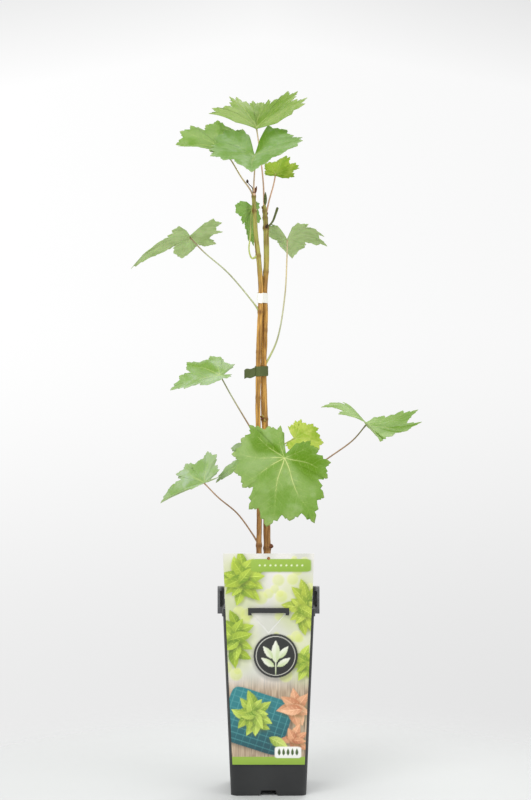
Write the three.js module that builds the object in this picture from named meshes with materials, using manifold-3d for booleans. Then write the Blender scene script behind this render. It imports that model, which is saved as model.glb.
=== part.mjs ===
// Young grapevine in a tall square nursery pot. Two woody canes rise from one foot, tied together twice,
// and carry thirteen lobed leaves on long thin stalks. Damp compost fills the pot, and a printed card
// stands in front of it on the rim's cross bar. Millimetres, +Z up, origin at the centre of the underside.
import * as THREE from 'three';
import { mergeVertices } from 'three/addons/utils/BufferGeometryUtils.js';
import Module from 'manifold-3d';

const wasm = await Module();
wasm.setup();

// ---- driving dimensions ---------------------------------------------------------------------------
const GAP = 0.3; // clearance between neighbouring solids

const POT = {
  height: 213, halfBase: 43, halfRim: 52, wall: 1.8, floor: 2.4,
  corner: 8, innerCorner: 6.5, lipHigh: 9, lipOut: 1.2,
};
const NOTCH = { wide: 20.5, narrow: 16, high: 6, deep: 18, skin: 1.6 }; // drain in each side's foot
const DRAIN = { half: 3, low: 3.2, high: 5.4 }; // hole through a notch's back wall
const EYELET = { wide: 12, out: 7.9, low: 202, high: 233, round: 2.5 };
const EYELET_SLOT = { low: 210, high: 228, from: 1.9, wide: 3.2, web: 1 }; // a recess on both faces
const EAR = { half: 23.5, high: 236, thick: 2, round: 5 }; // plate behind the card, and one at the back
const BAR = { half: 21.5, low: 209.4, high: 213.8, out: 6 };
const BAR_HEAD = { half: 23.2, low: 209, high: 214.6, thick: 1.8, hookDrop: 2.6, hookWide: 4 };
const SOIL_TOP = 198;
const CARD = { low: 36, high: 276, halfLow: 41, halfHigh: 51.5, thick: 0.9, hole: 3.8, holeUp: 270.5 };

// Limbs: centre points from the foot to the tip, and radii spread evenly along the same way.
const FOOT = {
  way: [[-5, 0, SOIL_TOP + GAP], [-5, 0, 212], [-5.5, 0, 226], [-6, 0, 240]],
  radii: [9, 6.4, 5.6, 5.2],
};
const CANE_LEFT = {
  way: [
    [-7.5, -0.6, 233], [-10, -3, 252], [-10.7, -4, 275], [-10.5, -4, 310], [-12.2, -4, 402],
    [-11.6, -4, 484], [-9.9, -4, 553], [-9.2, -4, 574], [-11, -4, 606], [-13.9, -4, 635],
    [-15.4, -4, 655], [-16.6, -4, 680], [-17, -4, 690],
  ],
  radii: [3.2, 2.9, 2.7, 2.6, 2.6, 2.6, 2.5, 2.5, 2.4, 2.3, 2.2, 1.9, 1.7],
};
const CANE_RIGHT = {
  way: [
    [-4, 0.6, 233], [-2.2, 2.6, 252], [-1.2, 3.5, 275], [-1.8, 3.5, 302], [-3.5, 3.5, 402],
    [-4.8, 3.5, 432], [-5.2, 3.5, 484], [-4.3, 3.5, 553], [-5, 3.5, 572], [-3, 3.5, 606],
    [-2.6, 3.5, 640], [-3.6, 3.5, 662], [-4.8, 3.5, 676],
  ],
  radii: [3.6, 3.5, 3.9, 3.6, 3.3, 3.5, 3.1, 3.0, 3.0, 2.7, 3.0, 2.3, 1.8],
};
const FOOT_STEPS = 4;
const FOOT_SIDES = 10;
const CANE_STEPS = 20;
const CANE_SIDES = 8;

const TIE_SLACK = 0.55; // how far a tie stands off the canes
const TIE_WHITE = { low: 561.5, high: 573, thick: 0.8, tail: 0 };
const TIE_GREEN = { low: 477, high: 488.5, thick: 0.9, tail: 14 };

// Leaves. at: where the stalk meets the blade. az, el, roll: the midrib's heading, rise and turn in
// degrees. long: the midrib. fold and curl: degrees for the right and the left half. droop: bend of the
// blade beyond the stalk, heel: lift behind it. notch: half opening at the stalk. right, left: lobes as
// [angle from the midrib, share of the midrib]. petal: half width of a lobe in degrees, where it isn't
// the usual one. stalk: its way from the cane.
const BLADE = { thick: 1.1, teeth: 8, cut: 0.13, lean: 0.12, ripples: 5, heelShare: 0.07, petal: 38 };
const STALK = { radii: [1.4, 1.0, 0.95, 0.85], sides: 5, steps: 8 };
const LOBES = [[50, 0.86], [98, 0.74], [140, 0.58]];
const LEAVES = {
  top: {
    at: [-13.9, 0, 764.5], az: 84, el: 39, roll: 0, long: 64,
    fold: [31, 44], curl: [10, 50], droop: 5, heel: 0, notch: 90, wave: 0.03, seed: 1,
    right: [[44, 1.12], [84, 1.05]], left: [[38, 0.88], [86, 0.92]],
    stalk: [[-5, 3.6, 668], [-6, 4, 700], [-10, 1, 737]],
  },
  upper_front: {
    at: [-16.1, -28, 728.7], az: -93, el: -24, roll: 0, long: 58, petal: 56,
    fold: [20, 26], curl: [20, 10], droop: 5, heel: 140, notch: 20, wave: 0.02, seed: 2,
    right: [[60, 0.98], [98, 0.90], [129, 0.96]], left: [[64, 1.14], [98, 1.06], [140, 1.06]],
    stalk: [[-16.9, -4, 685], [-17, -10, 698], [-16, -22, 714]],
  },
  upper_left: {
    at: [-54, 2, 740.5], az: 180, el: 10, roll: 42, long: 54, petal: 44,
    fold: [15, 34], curl: [20, 20], droop: 10, heel: 0, notch: 28, wave: 0.04, seed: 3,
    right: [[26, 1.05], [72, 0.92], [118, 0.85]], left: [[30, 1.0], [74, 0.75], [120, 0.50]],
    stalk: [[-15.8, -4, 668], [-19, -3, 688], [-32, 0, 708], [-44, 2, 728]],
  },
  small_right: {
    at: [8.3, 8, 712.2], az: 60, el: 48, roll: 0, long: 36,
    fold: [-5, 5], curl: [10, 10], droop: 10, heel: 0, notch: 82, wave: 0.05, seed: 4, small: true,
    right: [[50, 0.86], [98, 0.74]], left: [[40, 0.82], [80, 0.45]],
    stalk: [[-3.6, 3.6, 661], [0.5, 5.5, 680], [6, 7, 700]],
  },
  left_high: {
    at: [-91.1, -15, 636.7], az: 103, el: -19, roll: 0, long: 52, petal: 34,
    fold: [11, 0], curl: [10, 36], droop: 10, heel: 4, notch: 28, wave: 0.03, seed: 5,
    right: [[50, 0.86], [98, 0.74], [142, 0.95]], left: [[66, 1.60], [112, 0.62], [146, 0.80]],
    stalk: [[-10, -4, 551], [-18, -6, 562], [-47, -9, 596], [-75, -13, 620]],
  },
  behind_canes: {
    at: [-19.8, 6, 672], az: 90, el: -78, roll: 58, long: 44,
    fold: [10, 10], curl: [20, 20], droop: 10, heel: 0, notch: 65, wave: 0.02, seed: 6, small: true,
    right: [[50, 0.62], [94, 0.50]], left: [[50, 0.55], [94, 0.78]],
    stalk: [[-12, -4, 616], [-19, -5, 613], [-22.5, -4.5, 622], [-21, -2, 640], [-20.3, 2, 660]],
  },
  right_high: {
    at: [22.2, 25, 637.5], az: 84, el: -11, roll: 0, long: 66,
    fold: [36, 42], curl: [95, 60], droop: 10, heel: 30, notch: 28, wave: 0.02, seed: 7,
    right: LOBES, left: [[50, 0.66], [98, 0.52], [140, 0.48]],
    stalk: [[-5, 3.6, 487], [10, 8, 519], [19, 12, 570], [21.5, 20, 612]],
  },
  left_mid: {
    at: [-56, -12, 477.8], az: 197, el: -10, roll: 34, long: 61,
    fold: [6, 27], curl: [15, 15], droop: 15, heel: 0, notch: 34, wave: 0.02, seed: 8,
    right: [[50, 0.80], [98, 0.66], [140, 0.48]], left: [[48, 0.70], [95, 0.42], [138, 0.24]],
    stalk: [[-12, -4, 402], [-24, -6, 422], [-43, -9, 454]],
  },
  right_mid: {
    at: [113.7, 10, 419.9], az: -80, el: -14, roll: 0, long: 72,
    fold: [60, -3], curl: [92, -40], droop: 0, heel: 0, notch: 28, wave: 0.02, seed: 9,
    right: [[50, 0.86], [98, 0.85], [140, 0.58]], left: [[50, 0.96], [98, 0.92], [140, 0.56]],
    stalk: [[-2.5, 3.6, 334], [37, 5, 358], [69, 7, 381], [98, 8, 402]],
  },
  front_large: {
    at: [18.1, -50, 383.4], az: -135, el: -68, roll: 40, long: 81, petal: 46,
    fold: [8, 8], curl: [15, 15], droop: 15, heel: 0, notch: 22, wave: 0.02, seed: 10,
    right: [[46, 0.75], [78, 0.73], [110, 0.70], [145, 0.50]], left: [[38, 0.97], [88, 0.68], [125, 0.46]],
    stalk: [[-2, 3.6, 322], [3, -12, 346], [11, -34, 369]],
  },
  left_low: {
    at: [-74.1, -20, 353.7], az: 157, el: -20, roll: 48, long: 63,
    fold: [8, 45], curl: [15, 15], droop: 10, heel: 0, notch: 28, wave: 0.02, seed: 11,
    right: [[50, 0.86], [98, 0.74], [140, 0.42]], left: LOBES,
    stalk: [[-10.8, -4, 281], [-18, -5, 293], [-36, -10, 318], [-58, -16, 337]],
  },
  young_back: {
    at: [31.7, 24, 404.4], az: 0, el: -8, roll: -66, long: 34, petal: 50,
    fold: [8, 14], curl: [15, 25], droop: 10, heel: 0, notch: 50, wave: 0.02, seed: 12, small: true,
    right: [[40, 0.88], [85, 0.70], [128, 0.50]], left: [[38, 0.86], [80, 0.72], [126, 0.50]],
    stalk: [[-3.6, 3.6, 374], [6, 10, 388], [18, 18, 397]],
  },
  back_left: {
    at: [-20.5, 16, 383.5], az: 180, el: -33, roll: 30, long: 52, petal: 24,
    fold: [10, 10], curl: [20, 20], droop: 10, heel: 0, notch: 46, wave: 0.02, seed: 13, small: true,
    right: [[74, 0.85], [115, 0.60]], left: [[50, 0.42], [98, 0.34]],
    stalk: [[-12, -3.5, 345], [-14, 3, 354], [-18, 11, 370]],
  },
};

// ---- materials ------------------------------------------------------------------------------------
const paint = (color, roughness) => new THREE.MeshStandardMaterial({ color, roughness, metalness: 0 });
const PLASTIC = paint(0x2b2c2d, 0.45);
const COMPOST = paint(0x3a2c22, 0.95);
const PRINT = paint(0xe4e2d3, 0.3);
const BARK = paint(0x9a6a38, 0.7);
const OLD_BARK = paint(0x7d5a3a, 0.85);
const STEM = paint(0xb98a5a, 0.5);
const LEAF = paint(0x78a844, 0.55);
const YOUNG_LEAF = paint(0xb4c840, 0.5);
const WHITE_TAPE = paint(0xefefe8, 0.5);
const GREEN_TAPE = paint(0x5c6d35, 0.6);

const rad = THREE.MathUtils.degToRad;

// ---- solids and meshes ----------------------------------------------------------------------------
function toSolid(geometry) {
  const bare = geometry.clone();
  for (const name of Object.keys(bare.attributes)) {
    if (name !== 'position') bare.deleteAttribute(name);
  }
  const merged = mergeVertices(bare, 1e-4);
  return new wasm.Manifold(new wasm.Mesh({
    numProp: 3,
    vertProperties: new Float32Array(merged.attributes.position.array),
    triVerts: new Uint32Array(merged.index.array),
  }));
}

function toMesh(name, solid, material) {
  const cut = solid.getMesh();
  const geometry = new THREE.BufferGeometry();
  geometry.setAttribute('position', new THREE.BufferAttribute(new Float32Array(cut.vertProperties), 3));
  geometry.setIndex(new THREE.BufferAttribute(new Uint32Array(cut.triVerts), 1));
  geometry.computeVertexNormals();
  const mesh = new THREE.Mesh(geometry, material);
  mesh.name = name;
  return mesh;
}

// The largest piece of a cut solid, without the slivers that a cut leaves.
function largest(solid) {
  const pieces = solid.decompose().sort((a, b) => b.volume() - a.volume());
  return pieces[0].simplify(0.01);
}

function shapeFrom(points, faces) {
  const geometry = new THREE.BufferGeometry();
  geometry.setAttribute('position', new THREE.BufferAttribute(new Float32Array(points.flat()), 3));
  geometry.setIndex(faces.flat());
  return geometry;
}

function box([x0, x1], [y0, y1], [z0, z1]) {
  const geometry = new THREE.BoxGeometry(x1 - x0, y1 - y0, z1 - z0);
  geometry.translate((x0 + x1) / 2, (y0 + y1) / 2, (z0 + z1) / 2);
  return toSolid(geometry);
}

// Skin over a stack of rings with equal counts, closed by a fan at each end.
function loft(rings) {
  const n = rings[0].length;
  const points = rings.flat();
  const faces = [];
  for (let r = 0; r + 1 < rings.length; r++) {
    for (let i = 0; i < n; i++) {
      const a = r * n + i;
      const b = r * n + ((i + 1) % n);
      faces.push([a, b, b + n], [a, b + n, a + n]);
    }
  }
  const centre = (ring) => [0, 1, 2].map((k) => ring.reduce((sum, p) => sum + p[k], 0) / n);
  const low = points.push(centre(rings[0])) - 1;
  const high = points.push(centre(rings[rings.length - 1])) - 1;
  const last = (rings.length - 1) * n;
  for (let i = 0; i < n; i++) {
    faces.push([low, (i + 1) % n, i], [high, last + i, last + ((i + 1) % n)]);
  }
  return shapeFrom(points, faces);
}

function curveOf(way) {
  return new THREE.CatmullRomCurve3(way.map((p) => new THREE.Vector3(...p)), false, 'centripetal');
}

function radiusAt(radii, t) {
  const f = t * (radii.length - 1);
  const i = Math.min(Math.floor(f), radii.length - 2);
  return THREE.MathUtils.lerp(radii[i], radii[i + 1], f - i);
}

// Tapering round limb along its way; grow makes the same limb thicker and longer all round.
function limb({ way, radii }, sides, steps, grow = 0) {
  const curve = curveOf(way);
  const rings = [];
  let side = new THREE.Vector3(0, 1, 0);
  for (let s = 0; s <= steps; s++) {
    const t = s / steps;
    const along = curve.getTangent(t).normalize();
    const end = s === 0 ? -grow : s === steps ? grow : 0;
    const centre = curve.getPoint(t).addScaledVector(along, end);
    side = side.clone().addScaledVector(along, -side.dot(along)).normalize();
    const up = new THREE.Vector3().crossVectors(along, side);
    const r = radiusAt(radii, t) + grow;
    rings.push(Array.from({ length: sides }, (_, k) => {
      const a = (k / sides) * 2 * Math.PI;
      const p = centre.clone().addScaledVector(side, r * Math.cos(a)).addScaledVector(up, r * Math.sin(a));
      return p.toArray();
    }));
  }
  return toSolid(loft(rings));
}

// ---- pot, compost and card ------------------------------------------------------------------------
const wallHalf = (z) => THREE.MathUtils.lerp(POT.halfBase, POT.halfRim, z / POT.height);
const quarterTurns = [0, 90, 180, 270];

// Square outline with rounded corners at height z.
function squareRing(half, corner, z) {
  const steps = 4;
  const straight = half - corner;
  const ring = [];
  for (const [sx, sy, start] of [[1, -1, -90], [1, 1, 0], [-1, 1, 90], [-1, -1, 180]]) {
    for (let i = 0; i <= steps; i++) {
      const a = rad(start + (90 * i) / steps);
      ring.push([sx * straight + corner * Math.cos(a), sy * straight + corner * Math.sin(a), z]);
    }
  }
  return ring;
}

// Upright plate seen from the front: wide and high from the origin up, with rounded top corners.
function roundedPlate(wide, high, corner, depth) {
  const shape = new THREE.Shape();
  shape.moveTo(-wide / 2, 0);
  shape.lineTo(wide / 2, 0);
  shape.lineTo(wide / 2, high - corner);
  shape.quadraticCurveTo(wide / 2, high, wide / 2 - corner, high);
  shape.lineTo(-wide / 2 + corner, high);
  shape.quadraticCurveTo(-wide / 2, high, -wide / 2, high - corner);
  shape.closePath();
  return toSolid(new THREE.ExtrudeGeometry(shape, { depth, bevelEnabled: false, curveSegments: 3 }));
}

function potShell() {
  const lipLow = POT.height - POT.lipHigh;
  const edge = 0.01; // height of the lip's underside
  const over = 1; // how far the inside cut runs past the rim
  const outside = toSolid(loft([
    squareRing(POT.halfBase, POT.corner, 0),
    squareRing(wallHalf(lipLow), POT.corner, lipLow),
    squareRing(wallHalf(lipLow) + POT.lipOut, POT.corner, lipLow + edge),
    squareRing(POT.halfRim + POT.lipOut, POT.corner, POT.height),
  ]));
  const inside = toSolid(loft([
    squareRing(wallHalf(POT.floor) - POT.wall, POT.innerCorner, POT.floor),
    squareRing(wallHalf(POT.height + over) - POT.wall, POT.innerCorner, POT.height + over),
  ]));
  return outside.subtract(inside);
}

// Housing over a foot notch, the notch itself and the drain hole in its back wall, in the front wall.
function footNotch(pot, turn) {
  const { wide, narrow, high, deep, skin } = NOTCH;
  const over = 1; // how far a cut runs past its wall
  const front = -POT.halfBase;
  const half = wide / 2;
  const back = front + deep;
  const housing = box([-half - skin, half + skin], [front + POT.wall / 2, back + skin], [0.5, high + skin]);
  const section = (reach, z) => [
    [-reach, front - over, z], [reach, front - over, z], [reach, back, z], [-reach, back, z],
  ];
  const notch = toSolid(loft([section(half, -over), section(half, 0), section(narrow / 2, high)]));
  const drain = box([-DRAIN.half, DRAIN.half], [back - over, back + skin + over], [DRAIN.low, DRAIN.high]);
  return pot.add(turn(housing)).subtract(turn(notch)).subtract(turn(drain));
}

function sideEyelet(pot, turn) {
  const { wide, out, low, high, round } = EYELET;
  const slot = EYELET_SLOT;
  const inner = POT.halfRim - POT.wall / 2;
  const plate = roundedPlate(wide, high - low, round, out).rotate([90, 0, 90]).translate([inner, 0, low]);
  const recess = (y) => box([inner + slot.from, inner + slot.from + slot.wide], y, [slot.low, slot.high]);
  const near = recess([-wide, -slot.web / 2]);
  const far = recess([slot.web / 2, wide]);
  return pot.add(turn(plate)).subtract(turn(near)).subtract(turn(far));
}

// Ear plate above the rim, and the cross bar whose head, hooked down at both ends, carries a card.
function earAndBar(pot, turn) {
  const lipLow = POT.height - POT.lipHigh;
  const front = -POT.halfRim;
  const ear = roundedPlate(2 * EAR.half, EAR.high - lipLow, EAR.round, EAR.thick)
    .rotate([90, 0, 0]).translate([0, front + EAR.thick - 0.6, lipLow]);
  const bar = box([-BAR.half, BAR.half], [front - BAR.out, front + 0.5], [BAR.low, BAR.high]);
  const depth = [front - BAR.out, front - BAR.out + BAR_HEAD.thick];
  const { half, low, high, hookDrop, hookWide } = BAR_HEAD;
  const head = box([-half, half], depth, [low, high]);
  const hooks = [-half, half - hookWide].map((x) => box([x, x + hookWide], depth, [low - hookDrop, low + 1]));
  return [ear, bar, head, ...hooks].reduce((whole, piece) => whole.add(turn(piece)), pot);
}

function potBody() {
  let pot = potShell();
  for (const angle of quarterTurns) pot = footNotch(pot, (solid) => solid.rotate([0, 0, angle]));
  for (const angle of [0, 180]) {
    const turn = (solid) => solid.rotate([0, 0, angle]);
    pot = earAndBar(sideEyelet(pot, turn), turn);
  }
  return largest(pot);
}

function pottingSoil() {
  const inner = (z) => wallHalf(z) - POT.wall - GAP;
  const low = POT.floor + GAP;
  const corner = POT.innerCorner - GAP;
  let soil = toSolid(loft([
    squareRing(inner(low), corner, low),
    squareRing(inner(SOIL_TOP), corner, SOIL_TOP),
  ]));
  const half = NOTCH.wide / 2 + NOTCH.skin + GAP;
  const back = -POT.halfBase + NOTCH.deep + NOTCH.skin + GAP;
  const room = box([-half, half], [-POT.halfBase - 9, back], [-1, NOTCH.high + NOTCH.skin + GAP]);
  for (const angle of quarterTurns) soil = soil.subtract(room.rotate([0, 0, angle]));
  return soil;
}

// Card parallel to the pot's front, just clear of the lip, with the bar's slot and a punched hole.
function plantCard() {
  const back = (z) => -(wallHalf(z) + POT.lipOut + GAP);
  const ring = (z, half) => [
    [-half, back(z) - CARD.thick, z],
    [half, back(z) - CARD.thick, z],
    [half, back(z), z],
    [-half, back(z), z],
  ];
  const sheet = toSolid(loft([ring(CARD.low, CARD.halfLow), ring(CARD.high, CARD.halfHigh)]));
  const punch = new THREE.CylinderGeometry(CARD.hole / 2, CARD.hole / 2, 12, 16);
  punch.translate(0, back(CARD.holeUp), CARD.holeUp);
  const slot = box([-BAR.half - GAP, BAR.half + GAP], [-70, -40], [BAR.low - GAP, BAR.high + GAP]);
  return sheet.subtract(toSolid(punch)).subtract(slot);
}

// ---- leaves ---------------------------------------------------------------------------------------
// Repeatable value from 0 to 1 for tooth i of a leaf.
function chance(i, seed) {
  const x = Math.sin(i * 12.9898 + seed * 78.233) * 43758.5453;
  return x - Math.floor(x);
}

// Radius of the lobed outline at an angle: one petal per lobe, the largest there nearly alone.
function lobeReach(leaf, degrees) {
  const lobes = [[0, 1], ...leaf.right, ...leaf.left.map(([a, r]) => [-a, r])];
  const sharp = 9;
  const petal = leaf.petal ?? BLADE.petal;
  const sum = lobes.reduce((total, [a, r]) => {
    const away = ((degrees - a + 540) % 360) - 180;
    return total + (r * Math.exp(-((away / petal) ** 2))) ** sharp;
  }, 0);
  return sum ** (1 / sharp);
}

// Flat outline in shares of the midrib: a tooth at the tip, more down each side, then the stalk's notch.
function outline(leaf) {
  const step = (180 - leaf.notch) / BLADE.teeth;
  const rim = [];
  for (let i = -2 * BLADE.teeth; i <= 2 * BLADE.teeth; i++) {
    const isTooth = i % 2 === 0;
    const degrees = (i * step) / 2 + (isTooth ? 0 : step * BLADE.lean * Math.sign(i));
    const spread = chance(i, leaf.seed);
    const tooth = i === 0 ? 1 : 0.95 + 0.1 * spread;
    const cut = 1 - BLADE.cut * (0.7 + 0.6 * spread);
    rim.push([degrees, lobeReach(leaf, degrees) * (isTooth ? tooth : cut)]);
  }
  const side = 180 - leaf.notch * 0.72;
  rim.unshift([-180, BLADE.heelShare], [-side, rim[0][1] / 2]);
  rim.push([side, rim[rim.length - 1][1] / 2]);
  return rim.map(([degrees, r]) => [r * Math.sin(rad(degrees)), r * Math.cos(rad(degrees))]);
}

// Carries the flat leaf point, u to the right of the midrib and v along it, to its place in space.
function place(leaf, u, v) {
  const tiny = 1e-3;
  const L = leaf.long;
  const half = u > 0 ? 0 : 1;
  const fold = rad(leaf.fold[half]);
  const curl = rad(leaf.curl[half]);
  const turned = fold - (curl * Math.abs(u)) / L;
  const across = Math.sign(u) * (L / curl) * (Math.sin(fold) - Math.sin(turned));
  const ripple = leaf.wave * ((u * u + v * v) / L) * Math.sin(BLADE.ripples * Math.atan2(u, v));
  const rise = (L / curl) * (Math.cos(turned) - Math.cos(fold)) + ripple;
  const bend = rad(v < 0 ? leaf.heel : -leaf.droop) || tiny;
  const angle = (bend * v) / L;
  const along = (L / bend) * Math.sin(angle) - rise * Math.sin(angle);
  const lift = (L / bend) * (1 - Math.cos(angle)) + rise * Math.cos(angle);

  const heading = rad(leaf.az);
  const climb = rad(leaf.el);
  const flat = Math.cos(climb);
  const rib = new THREE.Vector3(flat * Math.cos(heading), flat * Math.sin(heading), Math.sin(climb));
  const level = new THREE.Vector3(Math.sin(heading), -Math.cos(heading), 0);
  const sideways = level.clone().applyAxisAngle(rib, -rad(leaf.roll));
  const upwards = new THREE.Vector3().crossVectors(sideways, rib);
  return new THREE.Vector3(...leaf.at).addScaledVector(rib, along)
    .addScaledVector(sideways, across).addScaledVector(upwards, lift);
}

// Closed blade: the placed outline filled by rings, made thick along its normals; grow widens its rim.
function blade(leaf, thick, grow = 0) {
  const rim = outline(leaf);
  const n = rim.length;
  const shares = leaf.small ? [0.55, 1] : [0.4, 0.72, 1];
  const middle = [place(leaf, 0, 0)];
  for (const share of shares) {
    for (const [u, v] of rim) {
      const reach = share * leaf.long + (share === 1 ? grow / Math.hypot(u, v) : 0);
      middle.push(place(leaf, u * reach, v * reach));
    }
  }
  const upper = [];
  for (let i = 0; i < n; i++) {
    const j = (i + 1) % n;
    upper.push([0, 1 + i, 1 + j]);
    for (let r = 0; r + 1 < shares.length; r++) {
      const a = 1 + r * n + i;
      const b = 1 + r * n + j;
      upper.push([a, b + n, b], [a, a + n, b + n]);
    }
  }
  const normals = middle.map(() => new THREE.Vector3());
  for (const [a, b, c] of upper) {
    const toB = middle[b].clone().sub(middle[a]);
    const normal = toB.cross(middle[c].clone().sub(middle[a]));
    for (const i of [a, b, c]) normals[i].add(normal);
  }
  const skin = (side) => middle.map((p, i) => (
    p.clone().addScaledVector(normals[i].clone().normalize(), (side * thick) / 2).toArray()
  ));
  const below = middle.length;
  const faces = [...upper, ...upper.map(([a, b, c]) => [below + a, below + c, below + b])];
  const edge = 1 + (shares.length - 1) * n;
  for (let i = 0; i < n; i++) {
    const a = edge + i;
    const b = edge + ((i + 1) % n);
    faces.push([a, below + a, below + b], [a, below + b, b]);
  }
  return toSolid(shapeFrom([...skin(1), ...skin(-1)], faces));
}

// ---- ties -----------------------------------------------------------------------------------------
// Centre and radius of a cane at height z.
function caneAt(cane, z) {
  const curve = curveOf(cane.way);
  let low = 0;
  let high = 1;
  for (let i = 0; i < 30; i++) {
    const t = (low + high) / 2;
    if (curve.getPoint(t).z < z) low = t;
    else high = t;
  }
  const p = curve.getPoint(low);
  return { x: p.x, y: p.y, r: radiusAt(cane.radii, low) };
}

// Oval round both canes at each level, standing off them by a distance.
function tieRings(levels, off) {
  const steps = 8;
  return levels.map((z) => {
    const a = caneAt(CANE_LEFT, z);
    const b = caneAt(CANE_RIGHT, z);
    const heading = Math.atan2(b.y - a.y, b.x - a.x);
    const ring = [];
    for (const [cane, start] of [[b, -90], [a, 90]]) {
      for (let i = 0; i <= steps; i++) {
        const t = heading + rad(start + (180 * i) / steps);
        ring.push([cane.x + (cane.r + off) * Math.cos(t), cane.y + (cane.r + off) * Math.sin(t), z]);
      }
    }
    return ring;
  });
}

function tie({ low, high, thick, tail }) {
  const middle = (low + high) / 2;
  let band = toSolid(loft(tieRings([low, middle, high], TIE_SLACK + thick)));
  if (tail) {
    const cane = caneAt(CANE_LEFT, middle);
    const flap = toSolid(new THREE.BoxGeometry(tail + 1, thick, high - low - 0.6));
    band = band.add(flap.translate([-tail / 2, 0, 0]).rotate([0, 14, 22])
      .translate([cane.x - cane.r - GAP, cane.y + 0.6, middle - 0.4]));
  }
  return largest(band.subtract(toSolid(loft(tieRings([low - 1, middle, high + 1], TIE_SLACK)))));
}

// ---- assembly -------------------------------------------------------------------------------------
const vine = new THREE.Group();
vine.name = 'grapevine';
vine.add(toMesh('pot_body', potBody(), PLASTIC));
vine.add(toMesh('potting_soil', pottingSoil(), COMPOST));
vine.add(toMesh('plant_card', plantCard(), PRINT));

const foot = (grow) => limb(FOOT, FOOT_SIDES, FOOT_STEPS, grow);
const caneLeft = (grow) => limb(CANE_LEFT, CANE_SIDES, CANE_STEPS, grow);
const caneRight = (grow) => limb(CANE_RIGHT, CANE_SIDES, CANE_STEPS, grow);
vine.add(toMesh('trunk_foot', foot(0), OLD_BARK));
vine.add(toMesh('cane_left', largest(caneLeft(0).subtract(foot(GAP))), BARK));
vine.add(toMesh('cane_right', largest(caneRight(0).subtract(foot(GAP)).subtract(caneLeft(GAP))), BARK));
vine.add(toMesh('tie_white', tie(TIE_WHITE), WHITE_TAPE));
vine.add(toMesh('tie_green', tie(TIE_GREEN), GREEN_TAPE));

const wood = caneLeft(GAP).add(caneRight(GAP)).add(foot(GAP));
for (const [name, leaf] of Object.entries(LEAVES)) {
  const way = [...leaf.stalk, leaf.at];
  const stalk = limb({ way, radii: STALK.radii }, STALK.sides, STALK.steps)
    .subtract(wood).subtract(blade(leaf, BLADE.thick + 2 * GAP, GAP));
  vine.add(toMesh(`stalk_${name}`, largest(stalk), STEM));
  vine.add(toMesh(`leaf_${name}`, blade(leaf, BLADE.thick), name === 'young_back' ? YOUNG_LEAF : LEAF));
}

export default vine;
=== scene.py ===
"""Potted grapevine: square nursery pot, compost, printed card, two tied canes, buds, stalks and leaves.

Lengths are in metres once a shape is made. Paths, leaf poses and the sizes named at the head of each part
are in millimetres unless they say otherwise, and MM turns them into metres. The sizes and colours in the
sidebar are what a user would change first.
"""

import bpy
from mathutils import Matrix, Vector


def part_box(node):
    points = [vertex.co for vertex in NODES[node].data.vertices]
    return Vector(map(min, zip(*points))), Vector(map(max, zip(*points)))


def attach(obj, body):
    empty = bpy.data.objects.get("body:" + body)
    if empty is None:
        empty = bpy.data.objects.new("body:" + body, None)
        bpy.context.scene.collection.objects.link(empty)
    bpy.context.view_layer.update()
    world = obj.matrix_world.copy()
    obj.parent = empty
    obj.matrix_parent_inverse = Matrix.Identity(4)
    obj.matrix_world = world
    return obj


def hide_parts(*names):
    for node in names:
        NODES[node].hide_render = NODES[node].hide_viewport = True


bl_info = {
    "name": "Potted Grapevine",
    "version": (1, 0, 0),
    "blender": (4, 5, 0),
    "location": "3D View > Sidebar > Grapevine",
    "description": "Builds a young grapevine in a tall square nursery pot, piece by piece",
    "category": "Add Mesh",
}

import math

import bmesh
import bpy
import numpy as np
from bpy.props import FloatProperty, FloatVectorProperty, IntProperty, PointerProperty

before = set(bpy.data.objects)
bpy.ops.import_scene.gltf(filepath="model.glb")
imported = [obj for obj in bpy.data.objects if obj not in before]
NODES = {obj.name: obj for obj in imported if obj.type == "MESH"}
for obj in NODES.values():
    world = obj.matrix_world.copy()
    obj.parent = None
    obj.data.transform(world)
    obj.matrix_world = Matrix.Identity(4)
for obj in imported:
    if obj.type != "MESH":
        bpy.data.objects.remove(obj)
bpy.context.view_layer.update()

MM = 0.001
BODY = "root"

# Canes and foot: centre points from the foot to the tip, and radii spread evenly along the same way.
FOOT = {
    "way": [(-5, 0, 196), (-5, 0, 212), (-5.5, 0, 226), (-6, 0, 240)],
    "radii": [9.4, 6.4, 5.6, 5.0],
}
CANE_LEFT = {
    "way": [
        (-7.5, -0.6, 233), (-10, -3, 252), (-10.7, -4, 275), (-10.5, -4, 310), (-12.2, -4, 402),
        (-11.6, -4, 484), (-9.9, -4, 553), (-9.2, -4, 574), (-11, -4, 606), (-13.9, -4, 635),
        (-15.4, -4, 655), (-16.6, -4, 680), (-17, -4, 690),
    ],
    "radii": [3.2, 2.9, 2.7, 2.6, 2.6, 2.6, 2.5, 2.5, 2.4, 2.3, 2.2, 1.9, 1.7],
}
CANE_RIGHT = {
    "way": [
        (-4, 0.6, 233), (-2.2, 2.6, 252), (-1.2, 3.5, 275), (-1.8, 3.5, 302), (-3.5, 3.5, 402),
        (-4.8, 3.5, 432), (-5.2, 3.5, 484), (-4.3, 3.5, 553), (-5, 3.5, 572), (-3, 3.5, 606),
        (-2.6, 3.5, 640), (-3.6, 3.5, 662), (-4.8, 3.5, 676),
    ],
    "radii": [3.6, 3.5, 3.9, 3.6, 3.3, 3.5, 3.1, 3.0, 3.0, 2.7, 3.0, 2.3, 1.8],
}
STALK_RADII = [1.3, 0.92, 0.86, 0.78]

# Blade outline: teeth on each side, depth and lean of the cuts between them, reach behind the stalk, ripples
# round the rim, and the usual lobes beside the midrib's as (angle, share of the midrib).
TEETH = 8
CUT = 0.13
LEAN = 0.12
HEEL_SHARE = 0.07
RIPPLES = 5
LOBES = [(50, 0.86), (98, 0.74), (140, 0.58)]

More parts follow.
